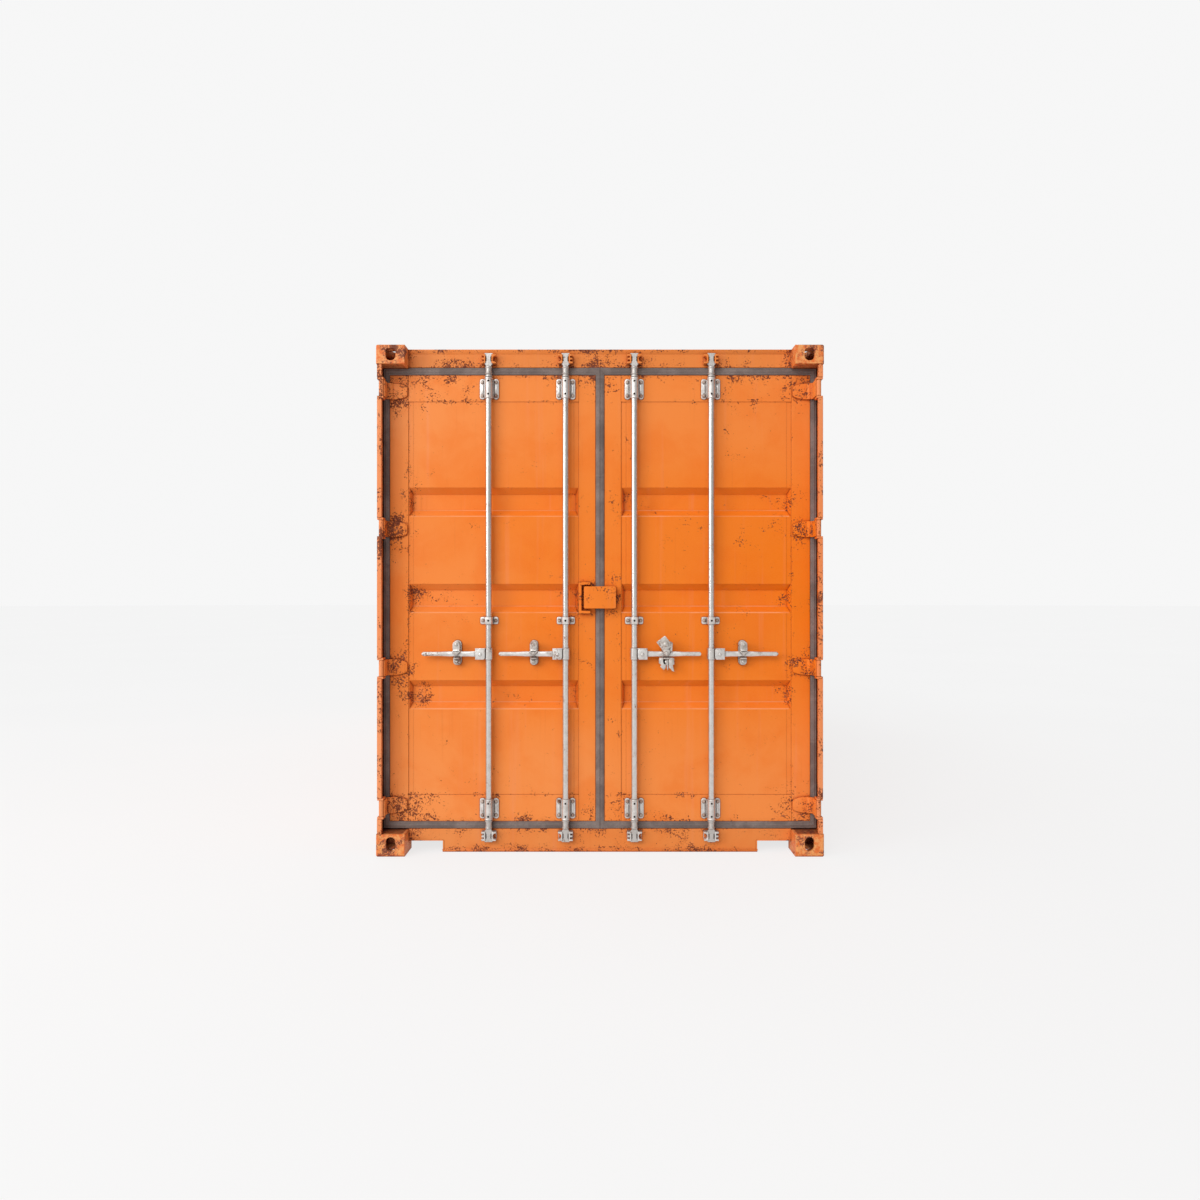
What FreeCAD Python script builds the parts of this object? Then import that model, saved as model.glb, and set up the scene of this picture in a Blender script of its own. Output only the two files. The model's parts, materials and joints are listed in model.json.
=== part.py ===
"""Steel shipping container, door end towards -Y, as an assembly of separate pieces.

Millimetres. X runs across the container, Y along it (door end at -Y, blind end at +Y)
and Z up from the ground. The origin is the centre of the footprint. Most places are
given as (x, depth, z), where depth is measured inwards from the door-end casting faces.
"""
import FreeCAD, Part
import math
import os

# ---------------------------------------------------------------- overall sizes
LENGTH = 6058.0
WIDTH = 2438.0
HEIGHT = 2787.0

# ---------------------------------------------------------------- corner castings
CASTING_X = 156.0
CASTING_Y = 178.0
TOP_CASTING_TALL = 104.0
BOTTOM_CASTING_TALL = 122.0
CASTING_EDGE_R = 10.0
CASTING_OUTER_WALL = 16.0
CASTING_INNER_WALL = 12.0
CASTING_PLATE = 28.5
CASTING_BACK_PLATE = 10.0
APERTURE_LONG = 124.0
APERTURE_WIDE = 63.5
APERTURE_FROM_END = 101.5
APERTURE_FROM_SIDE = 89.5
HOLE_FROM_SIDE = 80.0
HOLE_FROM_END = 89.0
BOTTOM_HOLE_WIDE = 52.0
BOTTOM_HOLE_TALL = 76.0
TOP_HOLE_WIDE = 55.0
TOP_HOLE_TALL = 67.0
TOP_HOLE_DROP = 54.5
TOP_HOLE_HEAD_R = 16.0
TOP_HOLE_FOOT_R = 26.0
SIDE_HOLE_LONG = 79.5
SIDE_HOLE_TALL = 58.0

# ---------------------------------------------------------------- door-end frame
POST_OUTER_INSET = 5.0
POST_FRONT = 5.0
POST_FLANGE = 25.0
POST_LIP = 20.0
POST_WALL = 8.0
STOP_WIDE = 79.0
FRAME_FACE = 105.0
FRAME_PLATE = 6.0
HEADER_TOP_DROP = 6.0
HEADER_TALL = 93.0
SILL_BOTTOM = 6.0
SILL_TOP = 127.0
SILL_NOTCH_WIDE = 190.0
SILL_NOTCH_TOP = 60.0

# ---------------------------------------------------------------- rails, walls, roof, floor
SKIN_INSET = 6.0
BOTTOM_RAIL_LOW = 14.0
BOTTOM_RAIL_TALL = 162.0
BOTTOM_RAIL_WIDE = 48.0
BOTTOM_RAIL_WALL = 6.0
TOP_RAIL = 60.0
WALL_INSET = 8.0
WALL_SHEET = 3.0
SIDE_CORRUGATION = 36.0
SIDE_PITCH = 278.0
SIDE_OUTER_FLAT = 72.0
SIDE_INNER_FLAT = 70.0
END_CORRUGATION = 45.0
END_PITCH = 250.0
END_OUTER_FLAT = 110.0
END_INNER_FLAT = 104.0
ROOF_CORRUGATION = 20.0
ROOF_PITCH = 209.0
ROOF_CREST_FLAT = 91.0
ROOF_VALLEY_FLAT = 91.0
END_FRAME_INSET = 5.0
END_POST_PLATE = 12.0
END_RAIL_DEEP = 60.0
MEMBER_TALL = 122.0
MEMBER_WIDE = 45.0
MEMBER_PLATE = 4.5
MEMBER_PITCH = 300.0
MEMBER_END_GAP = 14.5
FLOOR_THICK = 28.0
FLOOR_END_GAP = 2.0
POCKET_SPACING = 2050.0
POCKET_LONG = 360.0
POCKET_TALL = 115.0
POCKET_PLATE = 6.0
POCKET_STRAP = 4.0

# ---------------------------------------------------------------- door leaves
LEAF_FACE = 110.0
LEAF_THICK = 50.0
LEAF_STOP_GAP = 5.0
LEAF_SIDE_GAP = 19.0
LEAF_CENTRE_GAP = 24.0
LEAF_TOP_GAP = 41.0
LEAF_BOTTOM_GAP = 40.0
OUTER_STILE = 105.0
INNER_STILE = 94.0
LEAF_RAIL = 147.0
PANEL_STEP = 4.0
PANEL_SHEET = 3.0
PANEL_MARGIN = 28.0
PANEL_CROWN = 1.5
GROOVE_PITCH = 536.0
GROOVE_TALL = 159.0
GROOVE_SLOPE = 35.0
GROOVE_END_SLOPE = 13.0
GROOVE_DEEP = 36.0
GROOVE_END_GAP = 4.0
GASKET_FRONT = 100.0
GASKET_DEEP = 24.0
GASKET_CLEAR = 1.0
GASKET_CENTRE_CLEAR = 3.5
GASKET_CASTING_CLEAR = 2.0

# ---------------------------------------------------------------- hinges
HINGES_PER_LEAF = 4
HINGE_INSET = 92.5
HINGE_TALL = 88.0
HINGE_TIP_TALL = 56.0
HINGE_REACH = 100.0
PIN_FROM_FLANGE = 5.0
PIN_DEPTH = 22.0
PIN_R = 9.0
PIN_CLEAR = 0.05
BARREL_R = 13.0
BLADE_THICK = 12.0
BLADE_CLEAR = 2.0
LUG_THICK = 12.0
LUG_GAP = 1.0
HINGE_NOTCH_DEPTH = 60.0

# ---------------------------------------------------------------- lock rods, cams, keepers
ROD_R = 17.0
ROD_DEPTH = 78.0
ROD_CLEAR = 0.3
ROD_INNER_INSET = 166.0
ROD_OUTER_INSET = 555.0
CAM_BOTTOM = 62.0
CAM_TOP_DROP = 28.0
CAM_END_HALF = 22.0
CAM_WAIST_HALF = 11.5
CAM_FLARE_HALF = 23.0
CAM_NECK_HALF = 15.0
CAM_HALF_DEPTH = 9.0
CAM_END_TALL = 13.0
CAM_CORNER = 2.0
CAM_WAIST_LOW = 20.0
CAM_WAIST_HIGH = 44.0
CAM_FLARE_LOW = 51.0
CAM_FLARE_HIGH = 58.0
CAM_NECK_START = 66.0
CAM_COLLAR_LOW = 74.0
CAM_COLLAR_TALL = 10.0
CAM_COLLAR_R = 18.5
KEEPER_HALF = 40.0
KEEPER_LUG_IN = 27.0
KEEPER_NUB_IN = 17.0
KEEPER_TALL = 50.0
KEEPER_NUB_TALL = 16.0
KEEPER_FRONT = 60.0
KEEPER_BACK_FRONT = 97.0

# ---------------------------------------------------------------- rod brackets
BRACKET_WIDE = 105.0
BRACKET_TALL = 115.0
BRACKET_PLATE = 6.0
BRACKET_BARREL_R = 20.5
BRACKET_WEB = 30.0
BRACKET_CORNER_R = 20.0
UPPER_BRACKET_DROP = 79.0
LOWER_BRACKET_RISE = 73.0
GUIDE_WIDE = 100.0
GUIDE_TALL = 40.0
GUIDE_CORNER_R = 14.0
GUIDE_Z = 1283.0

# ---------------------------------------------------------------- handles, rests, catches
HANDLE_Z = 1100.0
HUB_R = 24.0
HUB_TALL = 62.0
HUB_REACH = 60.0
HUB_BACK_HALF = 14.0
HANDLE_FRONT = 60.0
HANDLE_THICK = 14.0
HANDLE_ROOT_IN = 20.0
HANDLE_TIP = 368.0
HANDLE_ROOT_TALL = 34.0
HANDLE_TIP_TALL = 24.0
REST_FROM_ROD = 176.0
REST_WIDE = 45.0
REST_TALL = 138.0
REST_RISE = 5.0
REST_PLATE = 6.0
REST_SHELF = 6.0
REST_SHELF_FRONT = 56.0
HANDLE_ROOM = 5.0
CATCH_PIVOT_RISE = 52.0
CATCH_FRONT = 52.0
CATCH_PLATE = 6.0
CATCH_WIDE = 40.0
CATCH_TOP_RISE = 18.0
CATCH_BOSS_R = 11.0
CATCH_STUD_R = 6.0
CATCH_STUD_CLEAR = 0.05
CATCH_SEAT_GAP = 0.3

# ---------------------------------------------------------------- lock box and guard
LOCK_Z = 1411.0
LOCK_BOX_HALF = 88.0
LOCK_BOX_TALL = 122.0
LOCK_BOX_CENTRE_CLEAR = 6.0
LOCK_BOX_FRONT = 52.0
LOCK_BOX_PLATE = 4.0
GUARD_INNER_X = 53.0
GUARD_OUTER_X = 117.0
GUARD_TALL = 172.0
GUARD_DROP = 2.0
GUARD_BAR = 15.0
GUARD_FRONT = 70.0

# ---------------------------------------------------------------- derived places
FRONT = -LENGTH / 2
HALF_WIDTH = WIDTH / 2
CASTING_IN_X = HALF_WIDTH - CASTING_X
POST_OUT_X = HALF_WIDTH - POST_OUTER_INSET
POST_IN_X = POST_OUT_X - POST_FLANGE
POST_WALL_X = POST_OUT_X - POST_WALL
POST_LOW = BOTTOM_CASTING_TALL
POST_HIGH = HEIGHT - TOP_CASTING_TALL
HEADER_TOP = HEIGHT - HEADER_TOP_DROP
HEADER_LOW = HEADER_TOP - HEADER_TALL
SKIN_X = HALF_WIDTH - SKIN_INSET
RAIL_IN_X = SKIN_X - BOTTOM_RAIL_WIDE
BOTTOM_RAIL_TOP = BOTTOM_RAIL_LOW + BOTTOM_RAIL_TALL
TOP_RAIL_IN_X = SKIN_X - TOP_RAIL
TOP_RAIL_LOW = HEADER_TOP - TOP_RAIL
MEMBER_TOP = BOTTOM_RAIL_LOW + MEMBER_TALL
LEAF_OUT_X = POST_IN_X - LEAF_SIDE_GAP
LEAF_IN_X = LEAF_CENTRE_GAP
LEAF_LOW = SILL_TOP + LEAF_BOTTOM_GAP
LEAF_HIGH = HEADER_LOW - LEAF_TOP_GAP
LEAF_BACK = LEAF_FACE + LEAF_THICK
LEAF_MID = (LEAF_LOW + LEAF_HIGH) / 2
PANEL_IN_X = LEAF_IN_X + INNER_STILE
PANEL_OUT_X = LEAF_OUT_X - OUTER_STILE
PANEL_LOW = LEAF_LOW + LEAF_RAIL
PANEL_HIGH = LEAF_HIGH - LEAF_RAIL
PIN_X = POST_IN_X + PIN_FROM_FLANGE
ROD_XS = (LEAF_IN_X + ROD_INNER_INSET, LEAF_OUT_X - ROD_OUTER_INSET)
CAM_TOP = HEIGHT - CAM_TOP_DROP


# ---------------------------------------------------------------- shape helpers
def block(x0, x1, d0, d1, z0, z1):
    """Box between two x, two depths and two heights."""
    corner = FreeCAD.Vector(x0, FRONT + d0, z0)
    return Part.makeBox(x1 - x0, d1 - d0, z1 - z0, corner)


def closed_face(points):
    return Part.Face(Part.makePolygon(points + [points[0]]))


def plan_prism(outline, z0, z1):
    """Extrude an (x, depth) outline upwards."""
    points = [FreeCAD.Vector(x, FRONT + d, z0) for x, d in outline]
    return closed_face(points).extrude(FreeCAD.Vector(0, 0, z1 - z0))


def front_prism(outline, d0, d1):
    """Extrude an (x, z) outline into the container."""
    points = [FreeCAD.Vector(x, FRONT + d0, z) for x, z in outline]
    return closed_face(points).extrude(FreeCAD.Vector(0, d1 - d0, 0))


def side_prism(outline, x0, x1):
    """Extrude a (depth, z) outline across the container."""
    points = [FreeCAD.Vector(x0, FRONT + d, z) for d, z in outline]
    return closed_face(points).extrude(FreeCAD.Vector(x1 - x0, 0, 0))


def upright(radius, x, depth, z0, z1):
    return Part.makeCylinder(radius, z1 - z0, FreeCAD.Vector(x, FRONT + depth, z0))


def stud(radius, x, z, d0, d1):
    """Round bar along the container's length."""
    return Part.makeCylinder(radius, d1 - d0, FreeCAD.Vector(x, FRONT + d0, z), FreeCAD.Vector(0, 1, 0))


def rounded_block(x0, x1, d0, d1, z0, z1, radius):
    """Plate facing the door end with its four front-view corners rounded."""
    plate = block(x0, x1, d0, d1, z0, z1)
    return plate.makeFillet(radius, edges_along(plate, FreeCAD.Vector(0, 1, 0)))


def edges_along(shape, direction):
    found = []
    for edge in shape.Edges:
        run = edge.Vertexes[-1].Point.sub(edge.Vertexes[0].Point)
        if run.Length > 0 and abs(run.normalize().dot(direction)) > 0.999:
            found.append(edge)
    return found


def slot_along(axis, length, width, centre, depth_half):
    """Round-ended slot whose long axis and cutting direction are given as letters."""
    long_axis, cut_axis = axis
    unit = {"x": FreeCAD.Vector(1, 0, 0), "y": FreeCAD.Vector(0, 1, 0), "z": FreeCAD.Vector(0, 0, 1)}
    run = unit[long_axis].multiply(length / 2 - width / 2)
    cut = unit[cut_axis].multiply(depth_half)
    ends = []
    for step in (run, run * -1):
        ends.append(Part.makeCylinder(width / 2, 2 * depth_half, centre + step - cut, cut))
    across = run.cross(cut).normalize().multiply(width / 2)
    corners = [centre - cut + a + b for a, b in ((run, across), (run, across * -1))]
    corners += [centre - cut - a + b for a, b in ((run, across * -1), (run, across))]
    middle = closed_face(corners).extrude(cut * 2)
    return ends[0].fuse([middle, ends[1]]).removeSplitter()


def join(shapes):
    return shapes[0].fuse(shapes[1:]).removeSplitter()


def mirrored_x(shape):
    return shape.mirror(FreeCAD.Vector(0, 0, 0), FreeCAD.Vector(1, 0, 0))


def mirrored_y(shape):
    return shape.mirror(FreeCAD.Vector(0, 0, 0), FreeCAD.Vector(0, 1, 0))


def both_sides(shapes):
    return shapes + [mirrored_x(shape) for shape in shapes]


def save(node, shapes):
    shape = shapes[0] if len(shapes) == 1 else Part.makeCompound(shapes)
    shape.exportStep("parts/" + node + ".step")


# ---------------------------------------------------------------- corner castings
def casting(is_top):
    """Hollow corner casting at the door end on the +X side."""
    low = HEIGHT - TOP_CASTING_TALL if is_top else 0.0
    high = HEIGHT if is_top else BOTTOM_CASTING_TALL
    outer_z = high if is_top else low
    body = block(CASTING_IN_X, HALF_WIDTH, 0, CASTING_Y, low, high)
    outer_edges = []
    for edge in body.Edges:
        middle = edge.CenterOfMass
        on_side = abs(middle.x - HALF_WIDTH) < 0.01
        on_front = abs(middle.y - FRONT) < 0.01
        on_plate = abs(middle.z - outer_z) < 0.01
        if on_side + on_front + on_plate == 2:
            outer_edges.append(edge)
    body = body.makeFillet(CASTING_EDGE_R, outer_edges)
    plate_low = CASTING_BACK_PLATE if is_top else CASTING_PLATE
    plate_high = CASTING_PLATE if is_top else CASTING_BACK_PLATE
    cavity = block(CASTING_IN_X + CASTING_INNER_WALL, HALF_WIDTH - CASTING_OUTER_WALL, CASTING_OUTER_WALL,
                   CASTING_Y - CASTING_INNER_WALL, low + plate_low, high - plate_high)
    cavity_z = (low + plate_low + high - plate_high) / 2
    hole_x = HALF_WIDTH - HOLE_FROM_SIDE
    aperture_at = FreeCAD.Vector(HALF_WIDTH - APERTURE_FROM_SIDE, FRONT + APERTURE_FROM_END, outer_z)
    aperture = slot_along("yz", APERTURE_LONG, APERTURE_WIDE, aperture_at, CASTING_PLATE + 1)
    side_at = FreeCAD.Vector(HALF_WIDTH, FRONT + HOLE_FROM_END, cavity_z)
    side_hole = slot_along("yx", SIDE_HOLE_LONG, SIDE_HOLE_TALL, side_at, CASTING_OUTER_WALL + 1)
    if is_top:
        end_hole = shield_hole(hole_x, HEIGHT - TOP_HOLE_DROP)
    else:
        end_at = FreeCAD.Vector(hole_x, FRONT, cavity_z)
        end_hole = slot_along("zy", BOTTOM_HOLE_TALL, BOTTOM_HOLE_WIDE, end_at, CASTING_OUTER_WALL + 1)
    return body.cut([cavity, aperture, side_hole, end_hole])


def shield_hole(x, z):
    """Cutter for a top casting's end hole, rounder at its foot than at its head."""
    hole = block(x - TOP_HOLE_WIDE / 2, x + TOP_HOLE_WIDE / 2, -1, CASTING_OUTER_WALL + 1,
                 z - TOP_HOLE_TALL / 2, z + TOP_HOLE_TALL / 2)
    heads = [edge for edge in edges_along(hole, FreeCAD.Vector(0, 1, 0)) if edge.CenterOfMass.z > z]
    hole = hole.makeFillet(TOP_HOLE_HEAD_R, heads)
    foot_z = z - TOP_HOLE_TALL / 2
    feet = [edge for edge in edges_along(hole, FreeCAD.Vector(0, 1, 0)) if edge.CenterOfMass.z < foot_z + 1]
    return hole.makeFillet(TOP_HOLE_FOOT_R, feet)


def four_corners(shape):
    pair = both_sides([shape])
    return pair + [mirrored_y(piece) for piece in pair]


# ---------------------------------------------------------------- door-end frame
def hinge_heights():
    spacing = (LEAF_HIGH - LEAF_LOW - 2 * HINGE_INSET) / (HINGES_PER_LEAF - 1)
    return [LEAF_LOW + HINGE_INSET + spacing * step for step in range(HINGES_PER_LEAF)]


def notch_half():
    return HINGE_TALL / 2 + LUG_GAP + LUG_THICK


def door_post():
    """Front lip, outer wall and a door stop turned in behind the leaf, notched at each hinge."""
    stop_face = LEAF_BACK + LEAF_STOP_GAP
    stop_x = POST_IN_X - STOP_WIDE
    lip_back = POST_FRONT + POST_LIP
    outline = [(POST_IN_X, POST_FRONT), (POST_OUT_X, POST_FRONT), (POST_OUT_X, CASTING_Y),
               (stop_x, CASTING_Y), (stop_x, stop_face), (POST_WALL_X, stop_face),
               (POST_WALL_X, lip_back), (POST_IN_X, lip_back)]
    post = plan_prism(outline, POST_LOW, POST_HIGH)
    notches = [block(POST_IN_X - 1, POST_OUT_X + 1, 0, HINGE_NOTCH_DEPTH, z - notch_half(), z + notch_half())
               for z in hinge_heights()]
    return post.cut(notches)


def hinge_lugs():
    """Two drilled plates at each hinge, closing the notch above and below the barrel."""
    lugs = []
    lug_in_x = PIN_X - BARREL_R
    for z in hinge_heights():
        for side in (-1, 1):
            middle = z + side * (notch_half() - LUG_THICK / 2)
            low = middle - LUG_THICK / 2
            high = middle + LUG_THICK / 2
            plate = block(lug_in_x, POST_OUT_X, PIN_DEPTH - BARREL_R, HINGE_NOTCH_DEPTH, low, high)
            lugs.append(plate.cut(upright(PIN_R, PIN_X, PIN_DEPTH, low - 1, high + 1)))
    return lugs


def hinge_pins():
    """Pin through both lugs of each hinge."""
    half = notch_half()
    return [upright(PIN_R, PIN_X, PIN_DEPTH, z - half, z + half) for z in hinge_heights()]


def header():
    """Box beam over the doors, open at its ends against the castings."""
    outer = block(-CASTING_IN_X, CASTING_IN_X, FRAME_FACE, CASTING_Y, HEADER_LOW, HEADER_TOP)
    inner = block(-CASTING_IN_X, CASTING_IN_X, FRAME_FACE + FRAME_PLATE, CASTING_Y - FRAME_PLATE,
                  HEADER_LOW + FRAME_PLATE, HEADER_TOP - FRAME_PLATE)
    return outer.cut(inner)


def sill():
    """Folded beam under the doors, open below, with a notch beside each casting."""
    outer = block(-CASTING_IN_X, CASTING_IN_X, FRAME_FACE, CASTING_Y, SILL_BOTTOM, SILL_TOP)
    inner = block(-CASTING_IN_X, CASTING_IN_X, FRAME_FACE + FRAME_PLATE, CASTING_Y - FRAME_PLATE,
                  SILL_BOTTOM, SILL_TOP - FRAME_PLATE)
    rear = block(-CASTING_IN_X, CASTING_IN_X, CASTING_Y, CASTING_Y + FRAME_PLATE, SILL_BOTTOM, MEMBER_TOP)
    notch = block(CASTING_IN_X - SILL_NOTCH_WIDE, CASTING_IN_X, FRAME_FACE, CASTING_Y + FRAME_PLATE,
                  SILL_BOTTOM, SILL_NOTCH_TOP)
    return join([outer.cut(inner), rear]).cut(both_sides([notch]))


# ---------------------------------------------------------------- blind-end frame
def end_post():
    """Angle post at the blind end with a chamfered outer corner, built at the door end."""
    inset = END_FRAME_INSET
    chamfer = END_POST_PLATE
    inner_x = POST_OUT_X - END_POST_PLATE
    inner_d = inset + END_POST_PLATE
    outline = [(CASTING_IN_X, inset), (POST_OUT_X - chamfer, inset), (POST_OUT_X, inset + chamfer),
               (POST_OUT_X, CASTING_Y), (inner_x, CASTING_Y), (inner_x, inner_d + chamfer / 2),
               (inner_x - chamfer / 2, inner_d), (CASTING_IN_X, inner_d)]
    return mirrored_y(plan_prism(outline, POST_LOW, POST_HIGH))


def channel_outline(near, far, low, high, plate):
    """Channel section with its web at the near depth, open towards the far one."""
    web = near + plate
    return [(near, low), (far, low), (far, low + plate), (web, low + plate),
            (web, high - plate), (far, high - plate), (far, high), (near, high)]


def end_bottom_rail():
    inset = END_FRAME_INSET
    back = inset + END_RAIL_DEEP
    outline = channel_outline(inset, back, SILL_BOTTOM, MEMBER_TOP, FRAME_PLATE)
    return mirrored_y(side_prism(outline, -CASTING_IN_X, CASTING_IN_X))


def end_top_rail():
    """Square rail with a flat plate that reaches back to the roof between the castings."""
    inset = END_FRAME_INSET
    rail = block(-CASTING_IN_X, CASTING_IN_X, inset, inset + END_RAIL_DEEP, TOP_RAIL_LOW, HEADER_TOP)
    plate = block(-CASTING_IN_X, CASTING_IN_X, inset + END_RAIL_DEEP, CASTING_Y,
                  HEADER_TOP - FRAME_PLATE, HEADER_TOP)
    return mirrored_y(join([rail, plate]))


# ---------------------------------------------------------------- side rails
def top_side_rail():
    return block(TOP_RAIL_IN_X, SKIN_X, CASTING_Y, LENGTH - CASTING_Y, TOP_RAIL_LOW, HEADER_TOP)


def bottom_side_rail():
    """Channel rail opening inwards, with two fork pocket mouths."""
    low = BOTTOM_RAIL_LOW
    high = BOTTOM_RAIL_TOP
    wall = BOTTOM_RAIL_WALL
    rail = block(RAIL_IN_X, SKIN_X, CASTING_Y, LENGTH - CASTING_Y, low, high)
    hollow = block(RAIL_IN_X, SKIN_X - wall, CASTING_Y, LENGTH - CASTING_Y, low + wall, high - wall)
    mouths = [block(RAIL_IN_X, SKIN_X, y0, y1, low + POCKET_STRAP, low + POCKET_STRAP + POCKET_TALL)
              for y0, y1 in pocket_spans()]
    return rail.cut([hollow] + mouths)


def pocket_spans():
    """Depths of the two fork pocket mouths."""
    spans = []
    for side in (-1, 1):
        centre = LENGTH / 2 + side * POCKET_SPACING / 2
        spans.append((centre - POCKET_LONG / 2, centre + POCKET_LONG / 2))
    return spans


def fork_pocket(span):
    """Square tunnel between the two bottom side rails."""
    near, far = span
    outer = block(-RAIL_IN_X, RAIL_IN_X, near - POCKET_PLATE, far + POCKET_PLATE, BOTTOM_RAIL_LOW, MEMBER_TOP)
    low = BOTTOM_RAIL_LOW + POCKET_STRAP
    return outer.cut(block(-RAIL_IN_X, RAIL_IN_X, near, far, low, low + POCKET_TALL))


# ---------------------------------------------------------------- floor
def cross_members():
    """Channels across the container, left out where a fork pocket runs."""
    first = CASTING_Y + FRAME_PLATE + MEMBER_PITCH / 2
    last = LENGTH - CASTING_Y - MEMBER_END_GAP - MEMBER_WIDE / 2
    count = round((last - first) / MEMBER_PITCH) + 1
    step = (last - first) / (count - 1)
    members = []
    for number in range(count):
        near = first + step * number - MEMBER_WIDE / 2
        far = near + MEMBER_WIDE
        room = 2 * POCKET_PLATE
        if any(near < high + room and far > low - room for low, high in pocket_spans()):
            continue
        outline = channel_outline(near, far, BOTTOM_RAIL_LOW, MEMBER_TOP, MEMBER_PLATE)
        members.append(side_prism(outline, -RAIL_IN_X, RAIL_IN_X))
    return members


def floor():
    far = LENGTH - END_FRAME_INSET - END_CORRUGATION - WALL_SHEET - FLOOR_END_GAP
    return block(-RAIL_IN_X, RAIL_IN_X, CASTING_Y, far, MEMBER_TOP, MEMBER_TOP + FLOOR_THICK)


# ---------------------------------------------------------------- corrugated sheets
def corrugated_outline(start, end, pitch, outer_flat, inner_flat, outer, deep, sheet):
    """Trapezoid sheet section as (along, across) points, starting and ending on half an outer flat."""
    count = max(1, round((end - start) / pitch))
    step = (end - start) / count
    slope = (step - outer_flat - inner_flat) / 2
    inner = outer - deep
    half_turn = math.atan2(deep, slope) / 2
    shift = sheet * math.tan(half_turn)
    near_side = [(start, outer)]
    far_side = [(start, outer - sheet)]
    for number in range(count):
        base = start + step * number
        turns = [base + outer_flat / 2, base + outer_flat / 2 + slope,
                 base + step - outer_flat / 2 - slope, base + step - outer_flat / 2]
        near_side += [(turns[0], outer), (turns[1], inner + sheet),
                      (turns[2], inner + sheet), (turns[3], outer)]
        far_side += [(turns[0] - shift, outer - sheet), (turns[1] - shift, inner),
                     (turns[2] + shift, inner), (turns[3] + shift, outer - sheet)]
    near_side.append((end, outer))
    far_side.append((end, outer - sheet))
    return near_side + far_side[::-1]


def side_wall():
    """Corrugated wall on the +X side with its ribs upright."""
    outline = corrugated_outline(CASTING_Y, LENGTH - CASTING_Y, SIDE_PITCH, SIDE_OUTER_FLAT,
                                 SIDE_INNER_FLAT, HALF_WIDTH - WALL_INSET, SIDE_CORRUGATION, WALL_SHEET)
    return plan_prism([(across, along) for along, across in outline], BOTTOM_RAIL_TOP, TOP_RAIL_LOW)


def end_wall():
    """Corrugated wall at the blind end, between the end posts."""
    outline = corrugated_outline(-CASTING_IN_X, CASTING_IN_X, END_PITCH, END_OUTER_FLAT, END_INNER_FLAT,
                                 LENGTH - END_FRAME_INSET, END_CORRUGATION, WALL_SHEET)
    return plan_prism(outline, MEMBER_TOP, TOP_RAIL_LOW)


def roof():
    """Corrugated roof sheet between the top rails, with its ribs across."""
    outline = corrugated_outline(CASTING_Y, LENGTH - CASTING_Y, ROOF_PITCH, ROOF_CREST_FLAT, ROOF_VALLEY_FLAT,
                                 HEADER_TOP, ROOF_CORRUGATION, WALL_SHEET)
    return side_prism(outline, -TOP_RAIL_IN_X, TOP_RAIL_IN_X)


# ---------------------------------------------------------------- door leaf
def leaf_stiles():
    inner = block(LEAF_IN_X, PANEL_IN_X, LEAF_FACE, LEAF_BACK, LEAF_LOW, LEAF_HIGH)
    outer = block(PANEL_OUT_X, LEAF_OUT_X, LEAF_FACE, LEAF_BACK, LEAF_LOW, LEAF_HIGH)
    return [inner, outer]


def leaf_rails():
    lower = block(PANEL_IN_X, PANEL_OUT_X, LEAF_FACE, LEAF_BACK, LEAF_LOW, PANEL_LOW)
    upper = block(PANEL_IN_X, PANEL_OUT_X, LEAF_FACE, LEAF_BACK, PANEL_HIGH, LEAF_HIGH)
    return [lower, upper]


def panel_face():
    """Depth of the panel's margins, behind the stiles' faces."""
    return LEAF_FACE + PANEL_STEP


def crown_face():
    """Depth of the panel's crown, which the guides and handle rests are bolted to."""
    return panel_face() - PANEL_CROWN


def pan(x0, x1, z0, z1, front, deep):
    """Pressed pan: a rectangle that gets shorter and lower as it gets deeper, steeply at its ends."""
    wires = []
    for share, depth in ((0, front), (1, front + deep)):
        end = share * GROOVE_END_SLOPE
        side = share * GROOVE_SLOPE
        corners = [(x0 + end, z0 + side), (x1 - end, z0 + side),
                   (x1 - end, z1 - side), (x0 + end, z1 - side)]
        points = [FreeCAD.Vector(x, FRONT + depth, z) for x, z in corners]
        wires.append(Part.makePolygon(points + [points[0]]))
    return Part.makeLoft(wires, True, True)


def leaf_panel():
    """Flat sheet, crowned between its two side margins, with three pressed horizontal grooves."""
    front = panel_face()
    sheet = PANEL_SHEET
    crown = block(PANEL_IN_X + PANEL_MARGIN, PANEL_OUT_X - PANEL_MARGIN, front - PANEL_CROWN, front,
                  PANEL_LOW, PANEL_HIGH)
    panel = block(PANEL_IN_X, PANEL_OUT_X, front, front + sheet, PANEL_LOW, PANEL_HIGH).fuse(crown)
    x0 = PANEL_IN_X + GROOVE_END_GAP
    x1 = PANEL_OUT_X - GROOVE_END_GAP
    pressed = []
    backs = []
    for step in (-1, 0, 1):
        z = LEAF_MID + step * GROOVE_PITCH
        low = z - GROOVE_TALL / 2
        high = z + GROOVE_TALL / 2
        pressed.append(pan(x0, x1, low, high, front, GROOVE_DEEP))
        pressed.append(block(x0, x1, front - PANEL_CROWN, front, low, high))
        backs.append(pan(x0 - sheet, x1 + sheet, low - sheet, high + sheet, front, GROOVE_DEEP + sheet))
    return join([panel] + backs).cut(pressed)


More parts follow.
